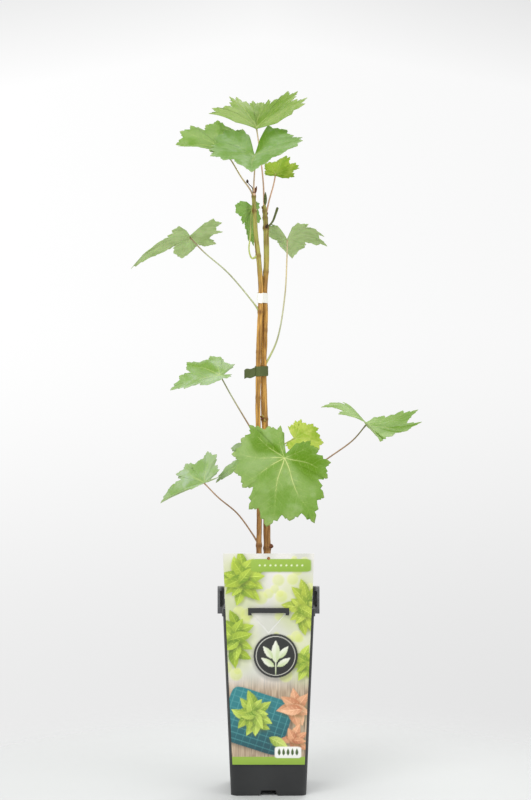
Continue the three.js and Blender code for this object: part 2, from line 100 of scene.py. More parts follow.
# A leaf. at: where the stalk meets the blade. az, el, roll: the midrib's heading, rise and turn in degrees.
# long: the midrib. fold and curl: degrees for the right and the left half. droop: bend of the blade beyond
# the stalk, heel: lift behind it. notch: half opening at the stalk. wave: height of the ripples. petal: half
# width of a lobe in degrees. right, left: lobes as (angle, share). tint: hue of the blade. stalk: its way
# from the cane. flush: hues of the stalk, from the cane to the blade. sectors: parts of the blade with
# painted shade, a deeper green, and, where the amount is below nought, painted sheen, a lighter green, as
# their middle and half width in degrees from the midrib, and the amount. pale: how pale the underside is.
# ribs: how clear the main veins are. A leaf's own row says only what differs from the usual leaf, and its
# seed is its place in the rows.
USUAL = dict(roll=0, petal=38, fold=(10, 10), curl=(15, 15), droop=10, heel=0, notch=28, wave=0.02,
             right=LOBES, left=LOBES, tint="fresh", sectors=[], pale=1.0, ribs=0.42)
ROWS = {
    "top": dict(
        at=(-13.9, 0, 764.5), az=84, el=39, long=64, fold=(31, 44), curl=(10, 50), droop=5, notch=90,
        wave=0.03, right=[(44, 1.12), (84, 1.05)], left=[(38, 0.88), (86, 0.92)], tint="bright",
        stalk=[(-5, 3.6, 668), (-6, 4, 700), (-10, 1, 737)], flush="red red tan",
        sectors=[(30, 30, 0.7), (-60, 40, -0.4)]),
    "upper_front": dict(
        at=(-16.1, -28, 728.7), az=-93, el=-24, long=58, petal=56, fold=(20, 26), curl=(20, 10), droop=5,
        heel=140, notch=20, right=[(60, 0.98), (98, 0.90), (129, 0.96)],
        left=[(64, 1.14), (98, 1.06), (140, 1.06)], tint="sky_sheen",
        stalk=[(-16.9, -4, 685), (-17, -10, 698), (-16, -22, 714)], flush="red tan",
        sectors=[(-152, 26, 0.95)], ribs=0.22),
    "upper_left": dict(
        at=(-54, 2, 740.5), az=180, el=10, roll=42, long=54, petal=44, fold=(15, 34), curl=(20, 20),
        wave=0.04, right=[(26, 1.05), (72, 0.92), (118, 0.85)], left=[(30, 1.0), (74, 0.75), (120, 0.50)],
        stalk=[(-15.8, -4, 668), (-19, -3, 688), (-32, 0, 708), (-44, 2, 728)], flush="red tan olive",
        sectors=[(-60, 40, 0.8), (40, 25, -0.6)]),
    "small_right": dict(
        at=(8.3, 8, 712.2), az=60, el=48, long=36, fold=(-5, 5), curl=(10, 10), notch=82, wave=0.05,
        right=[(50, 0.86), (98, 0.74)], left=[(40, 0.82), (80, 0.45)], tint="lime",
        stalk=[(-3.6, 3.6, 661), (0.5, 5.5, 680), (6, 7, 700)], flush="red red red", pale=0.5, ribs=0.3),
    "left_high": dict(
        at=(-91.1, -15, 636.7), az=103, el=-19, long=52, petal=34, fold=(11, 0), curl=(10, 36), heel=4,
        wave=0.03, right=[(50, 0.86), (98, 0.74), (142, 0.95)], left=[(66, 1.60), (112, 0.62), (146, 0.80)],
        stalk=[(-10, -4, 551), (-18, -6, 562), (-47, -9, 596), (-75, -13, 620)],
        flush="green sage sage brown"),
    "behind_canes": dict(
        at=(-19.8, 6, 672), az=90, el=-78, roll=58, long=44, curl=(20, 20), notch=65,
        right=[(50, 0.62), (94, 0.50)], left=[(50, 0.55), (94, 0.78)], tint="keen", flush="green green",
        stalk=[(-12, -4, 616), (-19, -5, 613), (-22.5, -4.5, 622), (-21, -2, 640), (-20.3, 2, 660)],
        pale=0.25),
    "right_high": dict(
        at=(22.2, 25, 637.5), az=84, el=-11, long=66, fold=(36, 42), curl=(95, 60), heel=30,
        left=[(50, 0.66), (98, 0.52), (140, 0.48)],
        stalk=[(-5, 3.6, 487), (10, 8, 519), (19, 12, 570), (21.5, 20, 612)], flush="green sage tan tan"),
    "left_mid": dict(
        at=(-56, -12, 477.8), az=197, el=-10, roll=34, long=61, fold=(6, 27), droop=15, notch=34,
        right=[(50, 0.80), (98, 0.66), (140, 0.48)], left=[(48, 0.70), (95, 0.42), (138, 0.24)], tint="pale",
        stalk=[(-12, -4, 402), (-24, -6, 422), (-43, -9, 454)], flush="tan brown sage olive",
        sectors=[(60, 40, 0.8), (-60, 30, -0.5)]),
    "right_mid": dict(
        at=(113.7, 10, 419.9), az=-80, el=-14, long=72, fold=(60, -3), curl=(92, -40), droop=0,
        right=[(50, 0.86), (98, 0.85), (140, 0.58)], left=[(50, 0.96), (98, 0.92), (140, 0.56)],
        stalk=[(-2.5, 3.6, 334), (37, 5, 358), (69, 7, 381), (98, 8, 402)], flush="red brown brown olive",
        sectors=[(-60, 40, 0.8)]),
    "front_large": dict(
        at=(18.1, -50, 383.4), az=-135, el=-68, roll=40, long=81, petal=46, fold=(8, 8), droop=15, notch=22,
        right=[(46, 0.75), (78, 0.73), (110, 0.70), (145, 0.50)], left=[(38, 0.97), (88, 0.68), (125, 0.46)],
        stalk=[(-2, 3.6, 322), (3, -12, 346), (11, -34, 369)], flush="tan green",
        sectors=[(-110, 42, 1.0), (124, 14, 0.9), (74, 24, -0.9)], ribs=0.78),
    "left_low": dict(
        at=(-74.1, -20, 353.7), az=157, el=-20, roll=48, long=63, fold=(8, 45),
        right=[(50, 0.86), (98, 0.74), (140, 0.42)], tint="pale",
        stalk=[(-10.8, -4, 281), (-18, -5, 293), (-36, -10, 318), (-58, -16, 337)], flush="brown brown red",
        sectors=[(-30, 26, 0.8)]),
    "young_back": dict(
        at=(31.7, 24, 404.4), az=0, el=-8, roll=-66, long=34, petal=50, fold=(8, 14), curl=(15, 25), notch=50,
        right=[(40, 0.88), (85, 0.70), (128, 0.50)], left=[(38, 0.86), (80, 0.72), (126, 0.50)],
        stalk=[(-3.6, 3.6, 374), (6, 10, 388), (18, 18, 397)], tint="young", flush="green green",
        pale=0.5, ribs=0.3),
    "back_left": dict(
        at=(-20.5, 16, 383.5), az=180, el=-33, roll=30, long=52, petal=24, curl=(20, 20), notch=46,
        right=[(74, 0.85), (115, 0.60)], left=[(50, 0.42), (98, 0.34)], tint="pale", flush="green green",
        stalk=[(-12, -3.5, 345), (-14, 3, 354), (-18, 11, 370)]),
}
LEAVES = {name: {**USUAL, "seed": count, **row} for count, (name, row) in enumerate(ROWS.items(), 1)}


# ---- settings ----
def length(name, words, default):
    return FloatProperty(name=name, description=words, default=default, min=0.0, unit="LENGTH", precision=5)


def screen(red, green, blue):
    """Linear light of a colour given as screen values from 0 to 255."""
    values = np.array([red, green, blue]) / 255
    return tuple(float(v) for v in ((values + 0.055) / 1.055) ** 2.4)


def colour(name, words, *values):
    return FloatVectorProperty(name=name, description=words, default=screen(*values), min=0.0, max=1.0,
                               subtype="COLOR", size=3)


class VineSizes(bpy.types.PropertyGroup):
    blade_thick: length("Blade thickness", "Thickness of a leaf blade", 0.0004)
    blade_puff: length("Blade puff", "How far the blade stands up between its veins", 0.0007)
    rib_height: length("Rib height", "How far the main ribs stand out below the blade", 0.0005)
    vein_step: FloatProperty(
        name="Vein step", description="Distance between side veins, as a share of the midrib",
        default=0.12, min=0.03, max=0.5)
    bark_depth: length("Bark depth", "Depth of the ridges in a cane's bark", 0.00022)
    foot_bark_depth: length("Foot bark depth", "Depth of the flaking bark on the foot", 0.0009)
    soil_lumps: length("Compost lumps", "Height of the lumps in the compost's surface", 0.0035)
    crumbs: IntProperty(name="Crumbs", description="Loose crumbs on the compost", default=420, min=0)
    pot_edge: length("Pot edge", "Rounding of the pot's moulded edges", 0.0006)


class VineColours(bpy.types.PropertyGroup):
    leaf_fresh: colour("Fresh leaf", "Upper side of most leaves", 129, 158, 84)
    # Painted sky reflection: the leaf green made bluer.
    leaf_sky_sheen: colour("Cool leaf", "Upper side of the bluer leaves", 128, 157, 98)
    leaf_bright: colour("Bright leaf", "Upper side of leaves with light behind them", 135, 159, 86)
    leaf_keen: colour("Keen leaf", "Upper side of the leaf that hangs behind the canes", 130, 172, 78)
    leaf_pale: colour("Pale leaf", "Upper side of leaves with the sky in them", 151, 174, 127)
    leaf_lime: colour("Lime leaf", "Upper side of the small bright leaf", 159, 183, 66)
    leaf_young: colour("Young leaf", "Upper side of the youngest leaf", 180, 196, 88)
    leaf_under: colour("Leaf underside", "Pale underside that every leaf blends towards", 207, 226, 166)
    vein: colour("Vein", "Main veins of a leaf", 208, 216, 142)
    stalk_red: colour("Red stalk", "Flushed stalks", 214, 176, 148)
    stalk_brown: colour("Brown stalk", "Red-brown stalks", 156, 124, 94)
    stalk_tan: colour("Tan stalk", "Yellow-brown stalks", 202, 186, 142)
    stalk_green: colour("Green stalk", "Green stalks", 172, 182, 100)
    stalk_olive: colour("Olive stalk", "Stalks between brown and green", 140, 140, 84)
    stalk_sage: colour("Sage stalk", "Grey-green stalks", 170, 176, 138)
    cane: colour("Cane bark", "Ripe bark of the canes", 200, 152, 72)
    cane_low: colour("Low bark", "Redder bark near the foot of the canes", 170, 124, 70)
    cane_dark: colour("Dark bark", "Streaks and nodes in the bark", 106, 68, 30)
    cane_green: colour("Green wood", "Unripe wood near the tips", 150, 158, 80)
    foot: colour("Old bark", "Flaking bark of the foot", 124, 92, 62)
    pot: colour("Pot", "Moulded plastic", 43, 44, 45)
    compost: colour("Compost", "Damp compost", 74, 54, 40)
    crumb: colour("Crumb", "Loose crumbs on the compost", 72, 52, 38)
    card_back: colour("Card back", "Plain back of the card", 228, 227, 220)
    white_tape: colour("White tape", "Upper tie", 240, 240, 234)
    green_tape: colour("Green tape", "Lower tie", 84, 96, 48)


# ---- shapes ----
class Shape:
    """Points, four-cornered and three-cornered faces, values per point and coordinates per corner."""

    def __init__(self, points, quads=None, tris=None, values=None, maps=None):
        self.points = np.asarray(points, float)
        self.quads = np.zeros((0, 4), int) if quads is None else np.asarray(quads, int).reshape(-1, 4)
        self.tris = np.zeros((0, 3), int) if tris is None else np.asarray(tris, int).reshape(-1, 3)
        self.values = values or {}
        self.maps = maps or {}


def joined(shapes):
    """One shape of several: points one after another, with each one's faces counted on from the last."""
    starts = np.cumsum([0] + [len(s.points) for s in shapes[:-1]])
    quads = np.concatenate([s.quads + k for s, k in zip(shapes, starts)])
    tris = np.concatenate([s.tris + k for s, k in zip(shapes, starts)])
    values = {k: np.concatenate([s.values[k] for s in shapes]) for k in shapes[0].values}
    return Shape(np.concatenate([s.points for s in shapes]), quads, tris, values)


def new_piece(name, shape, material, smooth=True):
    """Mesh object at the origin from a shape, with its values as attributes and its maps as UV maps."""
    mesh = bpy.data.meshes.new(name)
    mesh.vertices.add(len(shape.points))
    mesh.vertices.foreach_set("co", shape.points.astype(np.float32).ravel())
    corners = np.concatenate([shape.quads.ravel(), shape.tris.ravel()]).astype(np.int32)
    quad_starts = np.arange(len(shape.quads)) * 4
    tri_starts = len(shape.quads) * 4 + np.arange(len(shape.tris)) * 3
    mesh.loops.add(len(corners))
    mesh.loops.foreach_set("vertex_index", corners)
    mesh.polygons.add(len(shape.quads) + len(shape.tris))
    mesh.polygons.foreach_set("loop_start", np.concatenate([quad_starts, tri_starts]).astype(np.int32))
    mesh.update(calc_edges=True)
    mesh.polygons.foreach_set("use_smooth", np.full(len(mesh.polygons), smooth))
    for key, data in shape.values.items():
        if data.ndim == 2:
            rgba = np.concatenate([data, np.ones((len(data), 1))], 1)
            mesh.attributes.new(key, "FLOAT_COLOR", "POINT").data.foreach_set("color", rgba.ravel())
        else:
            mesh.attributes.new(key, "FLOAT", "POINT").data.foreach_set("value", data)
    for key, data in shape.maps.items():
        mesh.uv_layers.new(name=key).data.foreach_set("uv", data.astype(np.float32).ravel())
    mesh.materials.append(material)
    piece = bpy.data.objects.new(name, mesh)
    bpy.context.scene.collection.objects.link(piece)
    return piece


def fit(piece, slot, *nodes):
    """Lets a piece ride on the plant's body and stand for its CAD nodes. The slot is not used."""
    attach(piece, BODY)
    if nodes:
        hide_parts(*nodes)
    return piece


def unit(vectors):
    return vectors / np.maximum(np.linalg.norm(vectors, axis=-1, keepdims=True), 1e-12)


def smoothstep(low, high, x):
    t = np.clip((x - low) / (high - low), 0, 1)
    return t * t * (3 - 2 * t)


def lattice(a, b, cells, seed):
    """Smooth noise from -1 to 1: random values at whole numbers, blended with t*t*(3-2t) between them.
    It repeats every so many cells along a, and never along b."""
    rng = np.random.default_rng(seed)
    a0 = np.floor(a).astype(int)
    b0 = np.floor(b).astype(int)
    b0 = b0 - b0.min()
    grid = rng.uniform(-1, 1, (cells, b0.max() + 2))
    ta = a - np.floor(a)
    tb = b - np.floor(b)
    ta = ta * ta * (3 - 2 * ta)
    tb = tb * tb * (3 - 2 * tb)
    low = grid[a0 % cells, b0] * (1 - ta) + grid[(a0 + 1) % cells, b0] * ta
    high = grid[a0 % cells, b0 + 1] * (1 - ta) + grid[(a0 + 1) % cells, b0 + 1] * ta
    return low * (1 - tb) + high * tb


def skin_faces(rings, sides):
    """Faces of a closed skin of rings of points: squares between the rings, and triangles from the first
    and the last ring to the two points that come after all of them."""
    index = np.arange(rings * sides).reshape(rings, sides)
    beside = np.roll(index, -1, 1)
    quads = np.stack([index[:-1], beside[:-1], beside[1:], index[1:]], -1).reshape(-1, 4)
    first = np.stack([np.full(sides, rings * sides), beside[0], index[0]], -1)
    last = np.stack([np.full(sides, rings * sides + 1), index[-1], beside[-1]], -1)
    return quads, np.concatenate([first, last])


def disc_faces(rings, sides):
    """Faces of a disc of rings round point 0: squares between the rings and triangles round the middle."""
    index = np.arange(1, 1 + rings * sides).reshape(rings, sides)
    beside = np.roll(index, -1, 1)
    quads = np.stack([index[:-1], index[1:], beside[1:], beside[:-1]], -1).reshape(-1, 4)
    return quads, np.stack([np.zeros(sides, int), index[0], beside[0]], -1)


def curve_points(way, shares):
    """Centripetal Catmull-Rom curve through the way's points: between two of them it is the cubic whose
    end slopes come from the neighbours, timed by the square root of their distances."""
    p = np.asarray(way, float)
    p = np.vstack([2 * p[0] - p[1], p, 2 * p[-1] - p[-2]])
    spans = len(way) - 1
    at = np.clip(np.asarray(shares) * spans, 0, spans - 1e-9)
    i = at.astype(int)
    t = (at - i)[:, None]
    p0, p1, p2, p3 = p[i], p[i + 1], p[i + 2], p[i + 3]
    d0, d1, d2 = (np.sqrt(np.linalg.norm(b - a, axis=1))[:, None] for a, b in ((p0, p1), (p1, p2), (p2, p3)))
    slope1 = ((p1 - p0) / d0 - (p2 - p0) / (d0 + d1) + (p2 - p1) / d1) * d1
    slope2 = ((p2 - p1) / d1 - (p3 - p1) / (d1 + d2) + (p3 - p2) / d2) * d1
    square = 3 * (p2 - p1) - 2 * slope1 - slope2
    cube = 2 * (p1 - p2) + slope1 + slope2
    return p1 + slope1 * t + square * t ** 2 + cube * t ** 3


def spread(values, shares):
    """Values given at even shares of a length, read in between by straight lines."""
    return np.interp(shares, np.linspace(0, 1, len(values)), values)


def tube(path, radii, sides, values=None):
    """Closed skin round a path. Ring k is path[k] + radii[k] * (cos a * side + sin a * up), where side and
    up are square to the path, and each end is closed by a point."""
    ahead = unit(np.gradient(path, axis=0))
    reference = np.eye(3)[np.argmin(np.abs(ahead).max(0))]
    side = unit(reference - ahead * (ahead @ reference)[:, None])
    up = np.cross(ahead, side)
    a = np.arange(sides) * 2 * np.pi / sides
    r = radii if np.ndim(radii) == 2 else np.repeat(np.asarray(radii)[:, None], sides, 1)
    out = np.cos(a)[:, None] * side[:, None] + np.sin(a)[:, None] * up[:, None]
    rings = path[:, None] + r[..., None] * out
    points = np.concatenate([rings.reshape(-1, 3), path[:1], path[-1:]])
    quads, caps = skin_faces(len(path), sides)
    made = {}
    for key, data in (values or {}).items():
        made[key] = np.concatenate([np.repeat(data, sides, 0), data[:1], data[-1:]])
    return Shape(points, quads, caps, made)


def round_ends(radii, distance, near=None, far=None):
    """Brings the radii to nearly nothing at a limb's ends along a quarter circle of the given lengths."""
    out = np.array(radii, float)
    total = distance[-1]
    for size, gone in ((near, distance), (far, total - distance)):
        if size:
            t = np.clip(gone / size, 0, 1)
            out *= np.sqrt(np.clip(1 - (1 - t) ** 2, 1e-4, 1))
    return out


def lengths_along(path):
    steps = np.linalg.norm(np.diff(path, axis=0), axis=1)
    return np.concatenate([[0], np.cumsum(steps)])


# ---- leaves ----
# Offsets of the points on each side of a tooth, square to it, as shares of its length: first from a tip
# down to a cut, then from a cut up to a tip. Each holds one small tooth.
FALLING = np.array([0, 0.02, 0.03, -0.06, 0.11, 0.05, 0.02, 0])
RISING = np.array([0, 0.02, 0.06, 0.11, -0.05, 0.04, 0.03, 0.01])
RIM_STEPS = len(FALLING)
VEIN_SLANT = math.radians(52)  # between a side vein and its main vein
RINGS = 34
LEAST_TURN = 2e-4
HEEL_TURN = 0.72  # of the notch, where the edge turns in to the stalk
LAST_GAP = 40  # degrees that side veins reach beyond the last main vein
USUAL_LONG = 70  # midrib in millimetres of a leaf with the usual relief
EDGE_WAVES = 2.2  # height of the slow waves at the rim, in puffs
SECTOR_WANDER = 26  # degrees that the waves push a sector's edge aside
PATTERN_SHIFT = 2.3  # between one leaf's stretch of the patterns and the next one's
# Sway of the main veins, loss of strength with each degree from the midrib, and half widths of the hollows
# along main and side veins and of the ribs below, as shares of the midrib.
SWAY = 0.075
FADE = 0.004
MAIN_HOLLOW = 0.045
SIDE_HOLLOW = 0.034
RIB_WIDE = 0.012
# The least bend that stands in for a flat blade, in degrees.
LEAST_BEND = 0.06


def chance(i, seed):
    """Repeatable value from 0 to 1: the fraction of a large multiple of a sine."""
    x = np.sin(i * 12.9898 + seed * 78.233) * 43758.5453
    return x - np.floor(x)


def lobe_list(leaf):
    return [(0, 1.0)] + list(leaf["right"]) + [(-a, r) for a, r in leaf["left"]]


def lobe_reach(leaf, degrees):
    """Outline radius at an angle: the ninth root of the sum of ninth powers of one bell per lobe, so that
    the largest bell counts nearly alone."""
    total = 0
    for angle, share in lobe_list(leaf):
        away = (degrees - angle + 540) % 360 - 180
        total = total + (share * np.exp(-(away / leaf["petal"]) ** 2)) ** 9
    return total ** (1 / 9)


def leaf_rim(leaf):
    """Flat outline in shares of the midrib, clockwise seen from above, and each point's closeness to a
    tooth's tip. Teeth alternate with cuts round the lobes. Between the two the outline is a straight side
    pushed out by FALLING or RISING times the side's length. Each point lies further round than the last,
    by at least LEAST_TURN, so that rings shrunk towards the stalk never fold over."""
    step = (180 - leaf["notch"]) / TEETH
    i = np.arange(-2 * TEETH, 2 * TEETH + 1)
    is_tooth = i % 2 == 0
    degrees = i * step / 2 + np.where(is_tooth, 0, step * LEAN * np.sign(i))
    luck = chance(i, leaf["seed"])
    tooth = np.where(i == 0, 1, 0.95 + 0.1 * luck)
    cut = 1 - CUT * (0.7 + 0.6 * luck)
    radius = lobe_reach(leaf, degrees) * np.where(is_tooth, tooth, cut)
    side = 180 - leaf["notch"] * HEEL_TURN
    degrees = np.concatenate([[-180, -side], degrees, [side]])
    radius = np.concatenate([[HEEL_SHARE, radius[0] / 2], radius, [radius[-1] / 2]])
    peak = np.concatenate([[0, 0], is_tooth, [0]]).astype(float)
    corner = np.stack([radius * np.sin(np.radians(degrees)), radius * np.cos(np.radians(degrees))], 1)
    after = np.roll(corner, -1, 0)
    s = np.arange(RIM_STEPS)[:, None] / RIM_STEPS
    edge = after - corner
    out = np.stack([-edge[:, 1], edge[:, 0]], 1)
    push = np.where(peak > 0, FALLING[:, None], RISING[:, None])
    push[:, [0, 1, -1]] = 0
    rim = corner + edge * s[:, None] + out * push[..., None]
    tip = np.clip(1 - 3 * s, 0, 1) * peak + np.clip(3 * s - 2, 0, 1) * np.roll(peak, -1)
    rim = rim.transpose(1, 0, 2).reshape(-1, 2)
    turn = np.unwrap(np.arctan2(rim[:, 0], rim[:, 1]))
    onward = np.arange(len(rim)) * LEAST_TURN
    turn = np.maximum.accumulate(turn - onward) + onward
    rim = np.hypot(*rim.T)[:, None] * np.stack([np.sin(turn), np.cos(turn)], 1)
    return rim, tip.ravel(order="F")


def place(leaf, u, v):
    """Carries flat leaf points to their place. Across the midrib each half turns up by its fold and bends
    back by its curl along a circle, along the midrib the blade bends on a circle by its droop or its heel,
    and a ripple of five waves grows with the square of the distance from the stalk."""
    size = leaf["long"]
    right = u > 0
    fold = np.radians(np.where(right, *leaf["fold"]))
    curl = np.radians(np.where(right, *leaf["curl"]))
    turned = fold - curl * np.abs(u) / size
    across = np.sign(u) * (size / curl) * (np.sin(fold) - np.sin(turned))
    ripple = leaf["wave"] * ((u * u + v * v) / size) * np.sin(RIPPLES * np.arctan2(u, v))
    rise = (size / curl) * (np.cos(turned) - np.cos(fold)) + ripple
    bend = np.radians(np.where(v < 0, leaf["heel"] or LEAST_BEND, -(leaf["droop"] or LEAST_BEND)))
    angle = bend * v / size
    along = (size / bend) * np.sin(angle) - rise * np.sin(angle)
    lift = (size / bend) * (1 - np.cos(angle)) + rise * np.cos(angle)
    az, el, roll = np.radians([leaf["az"], leaf["el"], leaf["roll"]])
    rib = np.array([np.cos(el) * np.cos(az), np.cos(el) * np.sin(az), np.sin(el)])
    level = np.array([np.sin(az), -np.cos(az), 0])
    square = np.cross(level, rib)
    sideways = level * np.cos(roll) + square * np.sin(roll)
    upwards = np.cross(sideways, rib)
    at = np.asarray(leaf["at"], float)
    return at + along[..., None] * rib + across[..., None] * sideways + lift[..., None] * upwards


def vein_grid(leaf, u, v, step, gap=None):
    """Coordinates in the network of veins. number: the side vein's, counted along the main vein and slanting
    out at VEIN_SLANT with a bend towards the tip. away: distance from the nearest main vein. apart: how far
    a point has turned from that vein towards the middle of the gap between two, from 0 to 1. strength:
    1 on the midrib and less on the veins further round. Each gap starts its side veins at its own phase.
    The main veins sway by a slow sine of the distance from the stalk."""
    reach = np.hypot(u, v)
    turn = np.arctan2(u, v)
    sway = SWAY * smoothstep(0, 0.3, reach) * np.sin(5.5 * reach + 2 * turn + leaf["seed"])
    u, v = reach * np.sin(turn + sway), reach * np.cos(turn + sway)
    angles = np.sort([a for a, _ in lobe_list(leaf)])
    around = np.degrees(turn + sway)
    if gap is None:
        gap = np.searchsorted(angles, around)
    low = angles[np.clip(gap - 1, 0, len(angles) - 1)]
    high = angles[np.clip(gap, 0, len(angles) - 1)]
    nearest = np.where(np.abs(around - low) < np.abs(around - high), low, high)
    half = np.where(high > low, (high - low) / 2, LAST_GAP)
    apart = np.clip(np.abs(around - nearest) / half, 0, 1)
    strength = 1 - FADE * np.abs(nearest)
    heading = np.radians(nearest)
    along = u * np.sin(heading) + v * np.cos(heading)
    away = np.abs(u * np.cos(heading) - v * np.sin(heading))
    number = (along - away / np.tan(VEIN_SLANT) - 0.7 * away ** 2) / step + chance(gap + 20, leaf["seed"])
    return number, away, apart, strength


def leaf_shape(leaf, thick, puff, rib, step, tint):
    """Thin closed blade. The flat outline is filled by rings shrunk towards the stalk, placed in space, and
    given an upper and a lower skin half a thickness away along its normals. Both skins stand up between
    the veins by puff * (1 - exp(-main^2)) * (1 - 0.4 * exp(-side^2)), with the distances from the veins
    measured in their own widths. Slow waves grow towards the rim, and the ribs stand out below. A sector's
    amount falls off round the stalk as exp(-(turn / half width)^4)."""
    rim, tip = leaf_rim(leaf)
    n = len(rim)
    shares = np.linspace(0, 1, RINGS + 1)[1:]
    flat = np.concatenate([[[0, 0]], (shares[:, None, None] * rim).reshape(-1, 2)])
    share = np.concatenate([[0], np.repeat(shares, n)])
    u, v = flat.T
    number, away, apart, strength = vein_grid(leaf, u, v, step)
    side_gap = np.abs(number - np.round(number)) * step * math.sin(VEIN_SLANT)
    clear = smoothstep(0.5, 0.95, apart)
    main = 1 - strength * np.exp(-(away / MAIN_HOLLOW) ** 2)
    between = main * (1 - 0.4 * (1 - clear) * np.exp(-(side_gap / SIDE_HOLLOW) ** 2))
    reach = np.hypot(u, v)
    relief = puff * between * smoothstep(0, 0.12, reach) * (1 - share ** 6)
    noise = lattice(u * 7 + 40, v * 7 + 40, 97, leaf["seed"])
    noise = noise + 0.15 * lattice(u * 17 + 90, v * 17 + 90, 211, 7)
    waves = lattice(u * 2.6 + 60, v * 2.6 + 60, 67, leaf["seed"] + 3)
    relief = relief * (0.8 + 0.25 * noise) + puff * (0.12 * noise + EDGE_WAVES * waves) * share
    ridge = rib * strength * np.exp(-(away / (RIB_WIDE * (1.15 - share))) ** 2) * (1 - 0.9 * share)

    # Painted shade where a sector's amount is above nought, and painted sheen where it is below.
    around = np.degrees(np.arctan2(u, v)) + SECTOR_WANDER * waves
    deep = sum(amount * np.exp(-(((around - aim + 180) % 360 - 180) / wide) ** 4)
               for aim, wide, amount in leaf["sectors"])
    deep = deep * smoothstep(0.03, 0.15, reach) * (1 - 0.5 * smoothstep(0.7, 1.0, share))

    middle = place(leaf, u * leaf["long"], v * leaf["long"]) * MM
    grid = middle[1:].reshape(RINGS, n, 3)
    outward = np.gradient(grid, axis=0)
    onward = np.roll(grid, -1, 1) - np.roll(grid, 1, 1)
    normal = unit(np.cross(onward, outward))
    normal = np.concatenate([unit(normal[0].mean(0))[None], normal.reshape(-1, 3)])
    upper = middle + normal * (relief + thick / 2)[:, None]
    lower = middle + normal * (relief - thick / 2 - ridge)[:, None]
    total = len(middle)
    top, hub = disc_faces(RINGS, n)
    last = np.arange(total - n, total)
    beside = np.roll(last, -1)
    edge = np.stack([last, last + total, beside + total, beside], -1)
    quads = np.concatenate([top, top[:, ::-1] + total, edge])
    tris = np.concatenate([hub, hub[:, ::-1] + total])

    maps = {"blade": [], "veins": []}
    for faces in (np.concatenate([top, top[:, ::-1], edge % total]), np.concatenate([hub, hub[:, ::-1]])):
        fu, fv = u[faces], v[faces]
        heart = np.degrees(np.arctan2(fu.mean(1), fv.mean(1)))
        angles = np.sort([a for a, _ in lobe_list(leaf)])
        gap = np.repeat(np.searchsorted(angles, heart)[:, None], faces.shape[1], 1)
        fn, fa, _, fs = vein_grid(leaf, fu, fv, step, gap)
        maps["veins"].append(np.stack([fn, fa / fs ** 1.5], -1).reshape(-1, 2))
        maps["blade"].append(np.stack([fu + PATTERN_SHIFT * leaf["seed"], fv], -1).reshape(-1, 2))
    values = {
        "share": np.tile(share, 2),
        "under": np.repeat([0.0, leaf["pale"]], total),
        "rib": np.full(2 * total, leaf["ribs"]),
        "apart": np.tile(apart, 2),
        # Painted shade and painted sheen of the sectors.
        "deep": np.tile(np.clip(deep, 0, 1), 2),
        "light": np.tile(np.clip(-deep, 0, 1), 2),
        "tip": np.tile(np.concatenate([[0], (smoothstep(0.9, 1, shares)[:, None] * tip).ravel()]), 2),
        "tint": np.tile(tint, (2 * total, 1)),
    }
    return Shape(np.concatenate([upper, lower]), quads, tris, values,
                 {key: np.concatenate(parts) for key, parts in maps.items()})


# ---- finishes ----
class Nodes:
    """Node tree of a material or a world. Each method adds a node and returns the socket it gives."""

    def __init__(self, owner, shader):
        owner.use_nodes = True
        self.tree = owner.node_tree
        self.shader = next(n for n in self.tree.nodes if n.type == shader)

    def feed(self, socket, value):
        if isinstance(value, bpy.types.NodeSocket):
            self.tree.links.new(value, socket)
        elif isinstance(value, (int, float)):
            socket.default_value = value
        else:
            value = tuple(value)
            socket.default_value = value + (1.0,) if len(socket.default_value) > len(value) else value

    def set(self, name, value):
        self.feed(self.shader.inputs[name], value)

    def node(self, kind, output, inputs, **settings):
        made = self.tree.nodes.new(kind)
        for key, value in settings.items():
            setattr(made, key, value)
        for key, value in inputs.items():
            self.feed(made.inputs[key], value)
        return made.outputs[output]

    def math(self, operation, *values):
        return self.node("ShaderNodeMath", 0, dict(enumerate(values)), operation=operation)

    def mix(self, factor, a, b):
        return self.node("ShaderNodeMix", 2, {0: factor, 6: a, 7: b}, data_type="RGBA")

    def times(self, hue, factors):
        """A hue with each channel times its factor."""
        made = self.mix(1.0, hue, factors)
        made.node.blend_type = "MULTIPLY"
        return made

    def lay(self, base, hue, mask, share):
        """A hue laid over the base by a share of the mask."""
        return self.mix(self.math("MULTIPLY", mask, share), base, hue)

    def band(self, x, low, high, start=0.0, end=1.0, kind="SMOOTHSTEP"):
        """Step from start to end as x goes from low to high."""
        inputs = {"Value": x, "From Min": low, "From Max": high, "To Min": start, "To Max": end}
        return self.node("ShaderNodeMapRange", 0, inputs, interpolation_type=kind)

    def place(self, stretch=(1, 1, 1)):
        inputs = {"Vector": self.node("ShaderNodeTexCoord", "Object", {}), "Scale": stretch}
        return self.node("ShaderNodeMapping", 0, inputs)

    def noise(self, vector, scale, detail=3.0, rough=0.55):
        inputs = {"Vector": vector, "Scale": scale, "Detail": detail, "Roughness": rough}
        return self.node("ShaderNodeTexNoise", 0, inputs)

    def value(self, name, output="Fac"):
        return self.node("ShaderNodeAttribute", output, {}, attribute_name=name)

    def axis(self, vector, which):
        return self.node("ShaderNodeSeparateXYZ", which, {"Vector": vector})

    def bump(self, height, distance, strength):
        inputs = {"Height": height, "Distance": distance, "Strength": strength}
        self.set("Normal", self.node("ShaderNodeBump", 0, inputs))


class Finish(Nodes):
    """Material on the principled shader."""

    def __init__(self, name, roughness, specular):
        self.material = bpy.data.materials.new(name)
        super().__init__(self.material, "BSDF_PRINCIPLED")
        self.set("Roughness", roughness)
        self.set("Specular IOR Level", specular)

    def glow_within(self, weight, radius, scale):
        """Light that enters, scatters and leaves again nearby."""
        self.set("Subsurface Weight", weight)
        self.set("Subsurface Radius", radius)
        self.set("Subsurface Scale", scale)


